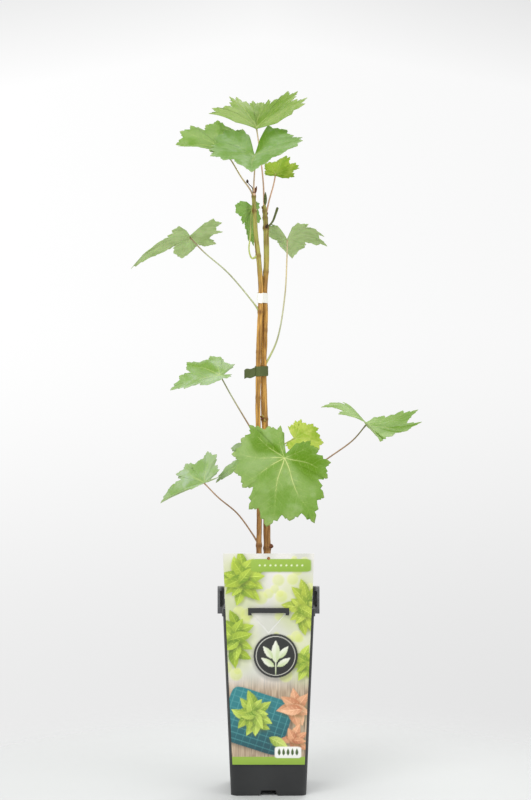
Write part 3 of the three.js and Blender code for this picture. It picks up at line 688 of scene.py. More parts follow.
def leaf_finish(hues):
    """Leaf: the piece's own tint with random darker patches and random patches of painted sheen, painted
    shade and painted sheen where its sectors lie, pale main veins, fainter side veins that fade out midway
    between two main ones, and a faint net of cells. The underside is paler, with the painted shade of the
    sectors."""
    f = Finish("leaf_blade", 0.6, 0.07)
    share = f.value("share")
    under = f.value("under")
    veins = f.node("ShaderNodeUVMap", 0, {}, uv_map="veins")
    blade = f.node("ShaderNodeUVMap", 0, {}, uv_map="blade")
    side = f.math("FRACT", f.axis(veins, "X"))
    side = f.math("SUBTRACT", 0.5, f.math("ABSOLUTE", f.math("SUBTRACT", side, 0.5)))
    taper = f.math("SUBTRACT", 1.08, share)
    away = f.math("DIVIDE", f.axis(veins, "Y"), taper)
    main_line = f.band(away, 0.002, 0.0105, 1.0, 0.0)
    halo = f.band(away, 0.0, 0.06, 1.0, 0.0)
    side_line = f.band(f.math("DIVIDE", side, f.math("ADD", taper, 0.15)), 0.01, 0.085, 1.0, 0.0)
    side_line = f.math("MULTIPLY", side_line, f.band(f.value("apart"), 0.45, 0.9, 1.0, 0.0))
    cells = {"Vector": blade, "Scale": 26.0}
    net = f.node("ShaderNodeTexVoronoi", "Distance", cells, feature="DISTANCE_TO_EDGE")
    net = f.band(net, 0.0, 0.08, 1.0, 0.0)

    tint = f.value("tint", "Color")
    # A darker green for random patches and for painted shade on the underside, and the deepest green for the
    # painted shade of the sectors.
    deep = f.times(tint, (0.52, 0.72, 0.17))
    painted_shade = f.times(tint, (0.44, 0.62, 0.06))
    # A paler, bluer copy of the tint: painted sheen, laid in random patches and in the lighter sectors.
    light = f.times(tint, (1.27, 1.15, 1.65))
    base = f.mix(f.band(f.noise(blade, 2.4, 2.0), 0.42, 0.64, 0.0, 0.6), tint, deep)
    # Random patches of painted sheen.
    base = f.mix(f.band(f.noise(blade, 3.7, 2.0), 0.50, 0.70, 0.0, 0.7), base, light)
    base = f.mix(f.band(f.noise(blade, 15.0, 2.0), 0.42, 0.75, 0.0, 0.2), base, deep)
    # Painted sheen and painted shade where the sectors lie.
    base = f.lay(base, light, f.value("light"), 0.8)
    base = f.lay(base, painted_shade, f.value("deep"), 0.92)
    for mask, amount in ((net, 0.07), (halo, 0.10), (side_line, 0.14), (main_line, f.value("rib"))):
        base = f.lay(base, hues.vein, mask, amount)
    pale = f.mix(0.62, tint, hues.leaf_under)
    pale = f.mix(f.band(f.noise(blade, 3.0, 3.0), 0.40, 0.66, 0.0, 0.45), pale, tint)
    pale = f.lay(pale, hues.vein, net, 0.12)
    pale = f.lay(pale, hues.vein, f.math("MAXIMUM", f.math("MULTIPLY", side_line, 0.5), main_line), 0.22)
    # Painted shade of the sectors on the underside.
    pale = f.lay(pale, deep, f.value("deep"), 0.55)
    f.set("Base Color", f.lay(f.mix(under, base, pale), hues.stalk_tan, f.value("tip"), 0.16))
    f.set("Roughness", f.band(under, 0.4, 0.6, 0.58, 0.75))
    f.glow_within(0.12, (0.6, 1.0, 0.25), 0.0012)
    return f.material


def stalk_finish():
    """Stalk: the tint of each point, streaked along the piece's own length, with a silky sheen."""
    f = Finish("leaf_stalk", 0.42, 0.45)
    tint = f.value("tint", "Color")
    grain = f.noise(f.place((1, 1, 0.35)), 700.0, 2.0)
    dark = f.times(tint, (0.62, 0.55, 0.5))
    f.set("Base Color", f.mix(f.band(grain, 0.4, 0.75, 0.0, 0.55), tint, dark))
    f.bump(grain, 0.00015, 0.5)
    f.glow_within(0.1, (1.0, 0.6, 0.3), 0.0008)
    return f.material


def bark_finish(name, light, low, dark, young, young_from, depth):
    """Bark: long fibres of paler and darker browns stretched along Z, redder low down, with painted shade in
    the furrows, darker at the knots, turning to unripe wood from a height on."""
    f = Finish(name, 0.62, 0.35)
    fibres = f.noise(f.place((1, 1, 0.045)), 620.0, 4.0, 0.6)
    blotches = f.noise(f.place((1, 1, 0.35)), 120.0, 3.0)
    height = f.axis(f.place(), "Z")
    base = f.mix(f.band(height, 0.28, 0.46), low, light)
    pale = f.times(base, (1.28, 1.25, 1.35))
    base = f.mix(f.band(fibres, 0.30, 0.46, 0.8, 0.0), base, pale)
    base = f.mix(f.band(fibres, 0.44, 0.66, 0.0, 0.85), base, dark)
    base = f.mix(f.band(blotches, 0.5, 0.75, 0.0, 0.45), base, dark)
    ripe = f.math("ADD", height, f.math("MULTIPLY", blotches, 0.05))
    base = f.mix(f.band(ripe, young_from, young_from + 0.05, 0.0, 0.8), base, young)
    # Painted shade in the furrows.
    base = f.lay(base, dark, f.value("furrow"), 0.75)
    base = f.lay(base, dark, f.value("node"), 0.7)
    f.set("Base Color", base)
    f.bump(fibres, depth, 0.7)
    f.set("Roughness", f.band(fibres, 0.3, 0.7, 0.5, 0.75))
    return f.material


def tape_finish(name, hue, roughness, specular, shade, depth):
    """Rolled tape: one hue with a slow drift to a darker shade of it, fine grain and uneven gloss."""
    f = Finish(name, roughness, specular)
    drift = f.noise(f.place(), 22.0, 3.0)
    f.set("Base Color", f.mix(f.band(drift, 0.35, 0.7), hue, f.times(hue, (shade, shade, shade))))
    f.bump(f.noise(f.place(), 1500.0, 2.0), depth, 0.5)
    f.set("Roughness", f.band(drift, 0.3, 0.7, roughness - 0.06, roughness + 0.08))
    return f.material


def pot_finish(hue):
    """Moulded plastic: one hue with a slow drift of value and a fine grain, and patches of painted sheen in a
    paler grey on what stands out sideways round the rim."""
    f = Finish("pot_plastic", 0.42, 0.45)
    drift = f.noise(f.place(), 22.0, 3.0)
    base = f.mix(f.band(drift, 0.35, 0.7), hue, f.times(hue, (0.82, 0.82, 0.82)))
    # Painted sheen: a paler grey in patches where the rim stands out to the left and the right.
    aside = f.band(f.math("ABSOLUTE", f.axis(f.place(), "X")), 0.0535, 0.056)
    painted_sheen = f.math("MULTIPLY", aside, f.band(f.noise(f.place(), 140.0, 3.0), 0.3, 0.6, 0.6, 1.0))
    f.set("Base Color", f.lay(base, screen(112, 113, 116), painted_sheen, 0.8))
    f.bump(f.noise(f.place(), 2600.0, 2.0), 0.00006, 0.5)
    f.set("Roughness", f.band(drift, 0.3, 0.7, 0.36, 0.5))
    return f.material


def tinted_finish(name, roughness, grain_scale, depth):
    """Surface that takes its hue from the piece's own tint and breaks it up with grain."""
    f = Finish(name, roughness, 0.3)
    tint = f.value("tint", "Color")
    grain = f.noise(f.place(), grain_scale, 4.0, 0.65)
    f.set("Base Color", f.mix(f.band(grain, 0.38, 0.66), tint, f.times(tint, (0.45, 0.42, 0.4))))
    f.bump(grain, depth, 0.9)
    return f.material


def card_finish():
    """Glossy print: the piece's own colours under a thin clear varnish that is not quite flat."""
    f = Finish("card_print", 0.22, 0.5)
    f.set("Base Color", f.value("print", "Color"))
    f.set("Coat Weight", 0.35)
    f.set("Coat Roughness", 0.12)
    f.bump(f.noise(f.place(), 60.0, 1.0), 0.0004, 0.15)
    return f.material


# ---- print on the card ----
def motif(shape, x, up, wide, high, turn, light, dark, soft=0.5, cover=1.0):
    """One motif of the print, in millimetres: its middle, half sizes, clockwise turn in degrees, two hues,
    the width of its edge and how much it hides what is under it."""
    return shape, x, up, wide, high, turn, light, dark, soft, cover


def paler(hue, more):
    return tuple(min(255, value + more) for value in hue)


def heading(degrees):
    return np.array([math.sin(math.radians(degrees)), math.cos(math.radians(degrees))])


def leaf_motifs(x, up, size, turn, light, dark):
    """A leaf of the print: its soft shadow, its blade and its pale ribs."""
    shadow = ((70, 84, 30), (60, 74, 26), size * 0.4, 0.35)
    yield motif("disc", x + 1, up - 1.6, size * 0.55, size, turn, *shadow)
    yield motif("leaf", x, up, size * 0.52, size, turn, light, dark)
    yield motif("leaf", x, up, size * 0.03, size * 0.95, turn, paler(light, 36), light)
    for back in (-0.5, -0.15, 0.2):
        for aside in (turn - 48, turn + 48):
            at = np.array((x, up)) + (heading(turn) * back + heading(aside) * 0.2) * size
            yield motif("leaf", *at, size * 0.016, size * 0.2, aside, paler(light, 26), light)


def spray(x, up, wide, high, count, size, seed, light, dark):
    """Overlapping leaves laid from the outside in, each turned away from the middle by its own amount."""
    for i in range(count):
        angle = 2.4 * i
        far = math.sqrt((count - i) / count)
        luck = chance(i, seed)
        turn = math.degrees(angle) + 60 * (luck - 0.5)
        grown = size * (0.75 + 0.5 * chance(i, seed + 9))
        across = x + wide * far * math.sin(angle)
        above = up + high * far * math.cos(angle)
        yield from leaf_motifs(across, above, grown, turn, paler(light, round(30 * luck - 18)), dark)


# Heaps of leaves: middle, half sizes, leaves, their length, seed and two hues. The first four lie on the
# paper and the others on the boards.
PAPER_SPRAYS = [
    (-30, 246, 16, 20, 17, 13, 3, (178, 200, 66), (104, 140, 30)),
    (40, 214, 10, 22, 15, 12, 4, (188, 204, 78), (116, 146, 34)),
    (-38, 178, 10, 22, 13, 12, 5, (170, 194, 60), (96, 130, 28)),
    (40, 150, 7, 12, 8, 10, 6, (180, 200, 74), (110, 144, 34)),
]
BOARD_SPRAYS = [
    (-18, 92, 15, 16, 16, 10, 7, (182, 202, 82), (100, 138, 32)),
    (30, 100, 8, 10, 8, 11, 8, (232, 178, 138), (184, 116, 78)),
    (30, 64, 9, 7, 7, 10, 9, (222, 164, 122), (170, 100, 66)),
]
BOARD_WIDE = 15
BOARD_TO_PAPER = (116, 144)  # heights between which the boards fade into the paper
# Leaves of the seal's sprig: middle, length and turn.
SPRIG = [(8, 163, 13, 0), (0, 152, 9, 304), (16, 152, 9, 56), (0, 163, 9, 322), (16, 163, 9, 38)]
CLOTH_TURN = 18
CLOTH = ((36, 122, 128), (10, 64, 74))
THREAD = ((92, 168, 168), (40, 112, 118), 0.5, 0.6)


def card_motifs():
    """Motifs of the print, from the back to the front: washes of green and scattered soft spots, heaped
    leaves, a folded blue-green cloth with pale threads, tan leaves on the boards, a plain band, a dark seal
    with a pale sprig, and the strip and panel at the foot."""
    for x, up, wide, high in ((-34, 240, 28, 34), (36, 218, 28, 34), (-38, 176, 26, 34), (40, 156, 20, 26)):
        yield motif("disc", x, up, wide, high, 0, (196, 206, 124), (170, 186, 92), 20, 0.5)
    for i in range(46):
        x = 96 * (chance(i, 31) - 0.5)
        up = 134 + 138 * chance(i, 32)
        size = 3 + 5 * chance(i, 33)
        inner = size * 0.82
        yield motif("disc", x, up, size, size, 0, (226, 230, 150), (196, 208, 104), 0.9, 0.42)
        yield motif("disc", x, up, inner, inner, 0, (206, 216, 118), (186, 200, 92), 1.6, 0.3)
    for heap in PAPER_SPRAYS:
        yield from spray(*heap)
    yield motif("block", -12, 84, 38, 33, CLOTH_TURN, (60, 50, 40), (50, 42, 34), 7, 0.5)
    yield motif("block", -14, 86, 37, 32, CLOTH_TURN, *CLOTH)
    for line in range(-4, 5):
        yield motif("block", -14 + 7.8 * line, 86 - 2.6 * line, 0.5, 30, CLOTH_TURN, *THREAD)
        yield motif("block", -14 + 2.1 * line, 86 + 6.4 * line, 35, 0.5, CLOTH_TURN, *THREAD)
    for heap in BOARD_SPRAYS:
        yield from spray(*heap)
    yield from leaf_motifs(10, 62, 12, 118, (196, 210, 110), (130, 158, 50))
    yield motif("block", 14, 262, 34, 7.6, 0, (100, 120, 46), (92, 112, 40), 2.5, 0.4)
    yield motif("block", 14, 262.6, 34, 7.4, 0, (148, 180, 66), (134, 168, 52))
    for dot in range(9):
        yield motif("disc", -10 + 6 * dot, 262.6, 1.1, 1.1, 0, (228, 236, 196), (220, 230, 184))
    yield motif("disc", 8, 158, 27, 27, 0, (70, 74, 60), (60, 64, 50), 5, 0.45)
    for size, light, dark in ((25, (34, 36, 34), (16, 18, 16)), (22.4, (214, 214, 204), (198, 198, 186)),
                              (21.7, (34, 36, 34), (18, 20, 18))):
        yield motif("disc", 8, 160, size, size, 0, light, dark)
    for x, up, size, turn in SPRIG:
        yield motif("leaf", x, up, size * 0.42, size, turn, (226, 228, 214), (188, 204, 150))
    yield motif("block", 8, 148, 0.6, 9, 0, (214, 218, 198), (190, 204, 156))
    yield motif("block", 0, 40, 52, 5, 0, (142, 174, 60), (130, 162, 48))
    yield motif("block", 22, 50, 15, 6.4, 0, (236, 236, 230), (226, 226, 220))
    for dot in range(5):
        yield motif("leaf", 12 + 5 * dot, 50, 1.8, 4, 0, (70, 96, 40), (52, 78, 30))


def blend(share, low, high):
    """Hues between two screen colours, one for each share."""
    return np.array(screen(*low)) * (1 - share) + np.array(screen(*high)) * share


def print_colours(x, z):
    """Hue of the print at each point, X across and Z up in millimetres: boards below and cloudy paper above,
    then every motif over them. In a motif's own turned frame u runs across and v along, from -1 to 1. A disc
    is hypot(u, v) < 1, a block is the eighth powers' sum below 1 and a leaf is about |u| + v^2 < 1, with a
    toothed edge. The two hues blend along v, and the leaf's halves differ. The tongue's cut shows pale."""
    cloud = smoothstep(-0.5, 0.7, lattice(x / 19 + 9, z / 23, 41, 5))[:, None]
    grain = lattice(x * 1.6 + 90, z / 9, 211, 8) + 0.6 * lattice(x * 0.5 + 90, z / 14, 211, 9)
    seam = smoothstep(0.46, 0.5, np.abs((x / BOARD_WIDE + 0.3) % 1 - 0.5))[:, None]
    paper = blend(cloud, (222, 220, 214), (204, 205, 194))
    wood = blend(smoothstep(-1.1, 1.1, grain)[:, None], (150, 128, 104), (196, 176, 150)) * (1 - 0.6 * seam)
    high = smoothstep(*BOARD_TO_PAPER, z)[:, None]
    hue = wood * (1 - high) + paper * high
    for shape, at, up, wide, tall, turn, light, dark, soft, cover in card_motifs():
        room = math.hypot(wide, tall) + soft
        near = np.flatnonzero((np.abs(x - at) < room) & (np.abs(z - up) < room))
        a = math.radians(turn)
        dx, dz = x[near] - at, z[near] - up
        u = (dx * math.cos(a) - dz * math.sin(a)) / wide
        v = (dx * math.sin(a) + dz * math.cos(a)) / tall
        if shape == "disc":
            reach = np.hypot(u, v)
        elif shape == "leaf":
            reach = np.abs(u) * (1 + 0.22 * ((v * 8) % 1)) + v ** 2 * (1 - 0.25 * v) / 0.95
        else:
            reach = (u ** 8 + v ** 8) ** 0.125
        rim = (1 - reach) * min(wide, tall)
        share = (smoothstep(-soft / 2, soft / 2, rim) * cover)[:, None]
        lit = smoothstep(-1.2, 0.9, v * 0.7 - u * 0.4 - 0.35 * (shape == "leaf") * (u > 0))[:, None]
        hue[near] = hue[near] * (1 - share) + blend(lit, dark, light) * share
    cut = np.abs(tongue_depth(x, z))
    edge = (smoothstep(0.75, 0.35, cut) * (z < CARD_SLOT_LOW))[:, None]
    return hue * (1 - edge) + np.array(screen(222, 222, 216)) * edge


# ---- wood ----
# Rings and sides of the skins, the bark over the canes' own radii, how far a cane wanders, and the length
# and rise of a knot with the depth of the ring above it.
CANE_SIDES = 26
CANE_RINGS = 800
FOOT_SIDES = 56
FOOT_RINGS = 90
BARK_THICK = 0.35
WANDER = 0.35
KNOT_LONG = 2.6
KNOT_RISE = 0.75
KNOT_RING = 0.15
YOUNG_FROM = 0.60  # height in metres where the canes turn to unripe wood
NEVER_YOUNG = 2.0  # the same for the foot, far above the plant
# Knots of each cane: height and how much the wood swells there.
KNOTS_LEFT = [(281, 1.0), (345, 0.7), (402, 0.9), (452, 0.5), (505, 0.5), (551, 0.9), (616, 0.8), (668, 0.9),
              (685, 0.8)]
KNOTS_RIGHT = [(277, 1.2), (322, 0.8), (334, 0.8), (374, 0.8), (427, 1.3), (487, 0.9), (530, 0.5), (598, 0.6),
               (649, 1.2), (661, 0.7), (669, 0.7)]


def cane_shape(cane, knots, depth, seed):
    """Tapering tube with rounded ends. Its radius is (radius + bark) * (1 + 0.05 * lumps) + depth * ridges,
    with noise for both, and each knot adds a bell exp(-(height / KNOT_LONG)^2) with a thin ring cut above
    it. The path sways by slow sines. Furrows and knots are kept as values for the finish, which paints shade
    in the furrows."""
    shares = np.linspace(0, 1, CANE_RINGS)
    path = curve_points(cane["way"], shares)
    distance = lengths_along(path)
    bells = sum(s * np.exp(-((path[:, 2] - z) / KNOT_LONG) ** 2) for z, s in knots)
    rings = sum(s * np.exp(-((path[:, 2] - z - 1.2) / 0.7) ** 2) for z, s in knots)
    sway = [WANDER * np.sin(distance / 31 + seed), WANDER * np.cos(distance / 43 + seed), 0 * distance]
    path = path + np.stack(sway, 1)
    a, d = np.meshgrid(np.arange(CANE_SIDES) / CANE_SIDES, distance)
    ridges = lattice(a * 13, d / 22, 13, seed) + 0.6 * lattice(a * 13, d / 7 + 50, 13, seed + 1)
    lumps = lattice(a * 3, d / 14, 3, seed + 2)
    radius = spread(cane["radii"], shares)[:, None] + BARK_THICK
    radius = radius * (1 + 0.05 * lumps) + depth / MM * ridges
    radius = radius + KNOT_RISE * bells[:, None] * (1 + 0.3 * lumps) - KNOT_RING * rings[:, None]
    ends = round_ends(np.ones(CANE_RINGS), distance, 1.5, 2.0)[:, None]
    node = np.repeat(np.clip(bells, 0, 1)[:, None], CANE_SIDES, 1)
    return with_grain(tube(path * MM, radius * ends * MM, CANE_SIDES), np.clip(-ridges, 0, 1), node)


def with_grain(shape, furrow, node):
    """Keeps a tube's furrows and knots as values, given as rings of points."""
    for key, data in (("furrow", furrow), ("node", node)):
        shape.values[key] = np.concatenate([data.ravel(), data[0, :1], data[-1, :1]])
    return shape


def foot_shape(depth):
    """Short stout stem with flaking bark. Its radius is radius + roots + depth * (0.8 * ridges + 0.7 *
    plates): root swellings that fade as exp(-distance / 5), ridges of noise at two scales that lean round
    it, and long plates, the square root of a noise's size."""
    shares = np.linspace(0, 1, FOOT_RINGS)
    path = curve_points(FOOT["way"], shares)
    distance = lengths_along(path)
    a, d = np.meshgrid(np.arange(FOOT_SIDES) / FOOT_SIDES, distance)
    lean = a + d * 0.004
    ridges = lattice(lean * 9, d / 9, 9, 31) + 0.5 * lattice(lean * 21, d / 4, 21, 32)
    plates = np.abs(lattice(lean * 14, d / 13, 14, 33)) ** 0.5
    roots = np.exp(-d / 5) * (1.6 + 1.6 * lattice(a * 5, d / 30, 5, 34))
    radius = spread(FOOT["radii"], shares)[:, None] + roots + depth / MM * (0.8 * ridges + 0.7 * plates)
    radius = radius * round_ends(np.ones(FOOT_RINGS), distance, None, 3.5)[:, None]
    # Painted shade between the plates of bark.
    furrow = np.clip(0.8 - plates, 0, 1)
    return with_grain(tube(path * MM, radius * MM, FOOT_SIDES), furrow, furrow * 0)


# Buds and stubs. Each bud has its base, tip, radius and hue, each stub its way, its radii at the base and the
# tip, and its hue.
BUD_RINGS = 12
BUD_PEAK = 0.4
STUB_RINGS = 40
STUB_SIDES = 12
BUD_BROWN = screen(126, 78, 48)
BUD_DARK = screen(70, 52, 34)
BUD_WOOL = screen(196, 178, 96)
BUD_GREEN = screen(100, 112, 58)
BUDS = [
    ((-4.8, 2.6, 426), (-9.2, -2.4, 430.5), 1.9, BUD_BROWN),
    ((-5.2, 1.6, 428), (-7.6, -4.2, 432), 1.2, BUD_WOOL),
    ((-4.6, 1.5, 424), (-4.0, -3.6, 427), 1.2, BUD_WOOL),
    ((-4.0, 3.5, 675), (-3.4, 3.0, 690.5), 2.0, BUD_GREEN),
    ((-16.6, -4, 687), (-13.6, -4.4, 696.5), 1.7, BUD_BROWN),
    ((-17.2, -4, 688), (-17.6, -5, 695.5), 1.4, BUD_GREEN),
    ((-3.2, 2, 648), (-0.4, -2.5, 653), 1.7, BUD_DARK),
    ((-24.4, -4, 700), (-24.6, -4.2, 704.5), 1.5, BUD_DARK),
]
STUBS = [
    ([(-17, -4, 688), (-19, -4.5, 695), (-22, -5, 698), (-24.4, -4, 701.5)], 0.6, 0.45, BUD_DARK),
    ([(-3.6, 3.5, 648), (1, 5, 652), (5, 6, 657), (8, 6.5, 665), (10.8, 7, 673.5)], 0.9, 1.5, BUD_GREEN),
    ([(-2.0, 3, 277), (1.5, 1.6, 278.5), (5.0, 0.4, 280.5)], 2.7, 2.3, BUD_BROWN),
]


def bud_shape(base, tip, radius, tint):
    """Tube from base to tip whose radius goes as sin(pi * t^0.756)^0.7 with t from 0 to 1, so that it is
    fullest at t = 0.4."""
    base = np.asarray(base, float)
    t = np.linspace(0, 1, BUD_RINGS)
    path = base + (np.asarray(tip, float) - base) * t[:, None]
    power = math.log(0.5) / math.log(BUD_PEAK)
    radii = radius * np.sin(np.pi * np.clip(t, 0.03, 0.97) ** power) ** 0.7
    return tube(path * MM, radii * MM, STUB_SIDES, {"tint": np.tile(tint, (BUD_RINGS, 1))})


def joint_bud(stalk):
    """Small bud in the angle above a stalk, leaning the way that the stalk leaves its cane."""
    base = np.array(stalk[0], float)
    toward = np.array(stalk[1], float) - base
    toward[2] = 0
    toward = toward / max(np.linalg.norm(toward), 1e-6)
    foot = base + toward * 0.8 + [0, 0, 2.6]
    return bud_shape(foot, foot + toward * 2.4 + [0, 0, 3.6], 1.35, BUD_BROWN)


def stub_shape(way, start, end, tint):
    """Tube along a curve with an even taper and a rounded tip."""
    path = curve_points(way, np.linspace(0, 1, STUB_RINGS))
    radii = np.linspace(start, end, STUB_RINGS)
    radii = round_ends(radii, lengths_along(path), None, min(start, 0.9))
    return tube(path * MM, radii * MM, STUB_SIDES, {"tint": np.tile(tint, (STUB_RINGS, 1))})


STALK_RINGS = 90
STALK_SIDES = 14
STALK_BASE = (1.1, 3.2)  # swelling at the cane: how much and how far along
STALK_NECK = (0.35, 3)  # the same under the blade
GROOVE = 0.12


def stalk_shape(leaf, hues):
    """Thin limb from the cane to the blade: a swelling exp(-(distance / reach)^2) at each end, a shallow
    groove along one side, and a tint that runs through its hues from one end to the other."""
    shares = np.linspace(0, 1, STALK_RINGS)
    path = curve_points(leaf["stalk"] + [leaf["at"]], shares)
    distance = lengths_along(path)
    left = distance[-1] - distance
    radii = spread(STALK_RADII, shares)
    for (swell, reach), gone in ((STALK_BASE, distance), (STALK_NECK, left)):
        radii = radii + swell * np.exp(-(gone / reach) ** 2)
    radii = radii * round_ends(np.ones(STALK_RINGS), distance, None, 0.8)
    a = np.arange(STALK_SIDES) * 2 * np.pi / STALK_SIDES
    groove = 1 - GROOVE * np.exp(-((a - np.pi) / 0.5) ** 2)
    flush = np.array([getattr(hues, "stalk_" + word) for word in leaf["flush"].split()])
    tint = np.stack([spread(list(channel), shares) for channel in flush.T], 1)
    tint = np.clip(tint * (1 + 0.12 * np.sin(distance / 9 + leaf["seed"])[:, None]), 0, 1)
    return tube(path * MM, radii[:, None] * groove * MM, STALK_SIDES, {"tint": tint})


# ---- ties ----
# Points round a tie and its section, how far it stands off the canes, its slant, and each tie's heights,
# thickness and seed. The tail is the green tie's loose end.
TIE_AROUND = 120
TIE_SECTION = 18
TIE_SMOOTH = 6  # points on each side that the running mean takes in
TIE_OFF = 1.2
TIE_SLANT = 0.6
WHITE_TIE = dict(low=561.5, high=573, thick=0.7, seed=51)
GREEN_TIE = dict(low=477, high=488.5, thick=0.8, seed=61)
TAIL_HALF_HIGH = 5.4
TAIL_THICK = 0.6
TAIL_SEED = 71
TAIL_RINGS = 40
TAIL_WAY = [(-13.5, -5.5, 483), (-17, -7, 481), (-21, -8, 479.5), (-25, -7, 480), (-28, -8, 478.5)]


def cane_centre(cane, height):
    """Centre and radius of a cane at a height, read from points along its curve."""
    shares = np.linspace(0, 1, 600)
    path = curve_points(cane["way"], shares)
    i = int(np.argmin(np.abs(path[:, 2] - height)))
    return path[i], float(spread(cane["radii"], shares[i]))


def tape_section(thick):
    """Section of a tape, flat with rounded edges: out = thick / 2 * |cos s|^0.6 and up = |sin s|^0.35, each
    with its sign."""
    s = np.arange(TIE_SECTION) * 2 * np.pi / TIE_SECTION
    out = thick / 2 * np.sign(np.cos(s)) * np.abs(np.cos(s)) ** 0.6
    return s, out, np.sign(np.sin(s)) * np.abs(np.sin(s)) ** 0.35


def tie_shape(low, high, thick, seed):
    """Flat tape round both canes: an oval of two half circles on the canes' centres, smoothed by a running
    mean, with the tape's section, creases of noise and a slant."""
    t = np.linspace(0, 2 * np.pi, TIE_AROUND, endpoint=False)
    middle = (low + high) / 2
    left, left_r = cane_centre(CANE_LEFT, middle)
    right, right_r = cane_centre(CANE_RIGHT, middle)
    heading_right = math.atan2(right[1] - left[1], right[0] - left[0])
    near_right = np.cos(t - heading_right) > 0
    centre = np.where(near_right[:, None], right[:2], left[:2])
    reach = np.where(near_right, right_r, left_r) + TIE_OFF
    flat = centre + np.stack([np.cos(t), np.sin(t)], 1) * reach[:, None]
    kernel = np.hanning(2 * TIE_SMOOTH + 1)
    kernel = kernel / kernel.sum()
    flat = np.concatenate([flat[-TIE_SMOOTH:], flat, flat[:TIE_SMOOTH]])
    flat = np.stack([np.convolve(x, kernel, "valid") for x in flat.T], 1)
    ahead = unit(np.roll(flat, -1, 0) - np.roll(flat, 1, 0))
    outward = np.stack([ahead[:, 1], -ahead[:, 0]], 1)
    _, out, up = tape_section(thick)
    a, b = np.meshgrid(t / (2 * np.pi), up, indexing="ij")
    crease = 0.35 * lattice(a * 17, b * 1.5 + 4, 17, seed) + 0.12 * lattice(a * 43, b * 3 + 9, 43, seed + 1)
    rim = 0.4 * lattice(a * 9, b * 0 + 2, 9, seed + 2)
    points = np.empty((TIE_AROUND, TIE_SECTION, 3))
    points[..., :2] = flat[:, None] + outward[:, None] * (out + crease)[..., None]
    points[..., 2] = middle + (high - low) / 2 * up + rim + TIE_SLANT * np.sin(t)[:, None]
    index = np.arange(TIE_AROUND * TIE_SECTION).reshape(TIE_AROUND, TIE_SECTION)
    after = np.roll(index, -1, 0)
    quads = np.stack([index, after, np.roll(after, -1, 1), np.roll(index, -1, 1)], -1)
    return Shape(points.reshape(-1, 3) * MM, quads)


def tail_shape():
    """Loose end of a tape: the same section carried along a short curve, fading in height at its tip."""
    t = np.linspace(0, 1, TAIL_RINGS)
    path = curve_points(TAIL_WAY, t)
    outward = unit(np.cross(unit(np.gradient(path, axis=0)), [0, 0, 1]))
    tall = TAIL_HALF_HIGH * np.clip(1.02 - (t - 0.9) * 0.8, 0, 1)
    s, out, up = tape_section(TAIL_THICK)
    a, b = np.meshgrid(t * 6, np.sin(s) + 3, indexing="ij")
    out = out + 0.3 * lattice(a, b, 9, TAIL_SEED)
    points = path[:, None] + outward[:, None] * out[..., None]
    points[..., 2] += tall[:, None] * up
    quads, caps = skin_faces(TAIL_RINGS, TIE_SECTION)
    return Shape(np.concatenate([points.reshape(-1, 3), path[:1], path[-1:]]) * MM, quads, caps)


# ---- pot, compost and card ----
# The pot's half widths and height, the compost's top, foot, gap to the wall and corner, the card's half
# widths, thickness, hole, slot and tongue, and the step of the card's grid.
POT_HALF_BASE = 43
POT_HALF_RIM = 52
POT_HEIGHT = 213
SOIL_TOP = 198
SOIL_LOW = 8
SOIL_GAP = 2.1
SOIL_CORNER = 6.2
SOIL_SIDES = 180
SOIL_RINGS = 70
CRUMB_SIDES = 6
CARD_HALF_LOW = 41
CARD_HALF_HIGH = 51.5
CARD_THICK = 0.9
CARD_HOLE = 1.9
CARD_HOLE_DOWN = 5.5
CARD_SLOT_LOW = 209.1
CARD_SLOT_HIGH = 214.1
CARD_SLOT_HALF = 21.8
TONGUE_HALF = 20
TONGUE_TIP = 186
TONGUE_PROUD = 0.9
CARD_STEP = 0.72


def wall_half(z):
    """Half width of the pot's outside at a height, by a straight line from base to rim."""
    return POT_HALF_BASE + (POT_HALF_RIM - POT_HALF_BASE) * z / POT_HEIGHT


def tongue_depth(x, z):
    """Distance inside the tongue's nearer cut. The cuts run from the slot down to the tip."""
    slope = math.atan2(TONGUE_HALF, CARD_SLOT_LOW - TONGUE_TIP)
    return (z - TONGUE_TIP) * math.sin(slope) - np.abs(x) * math.cos(slope)


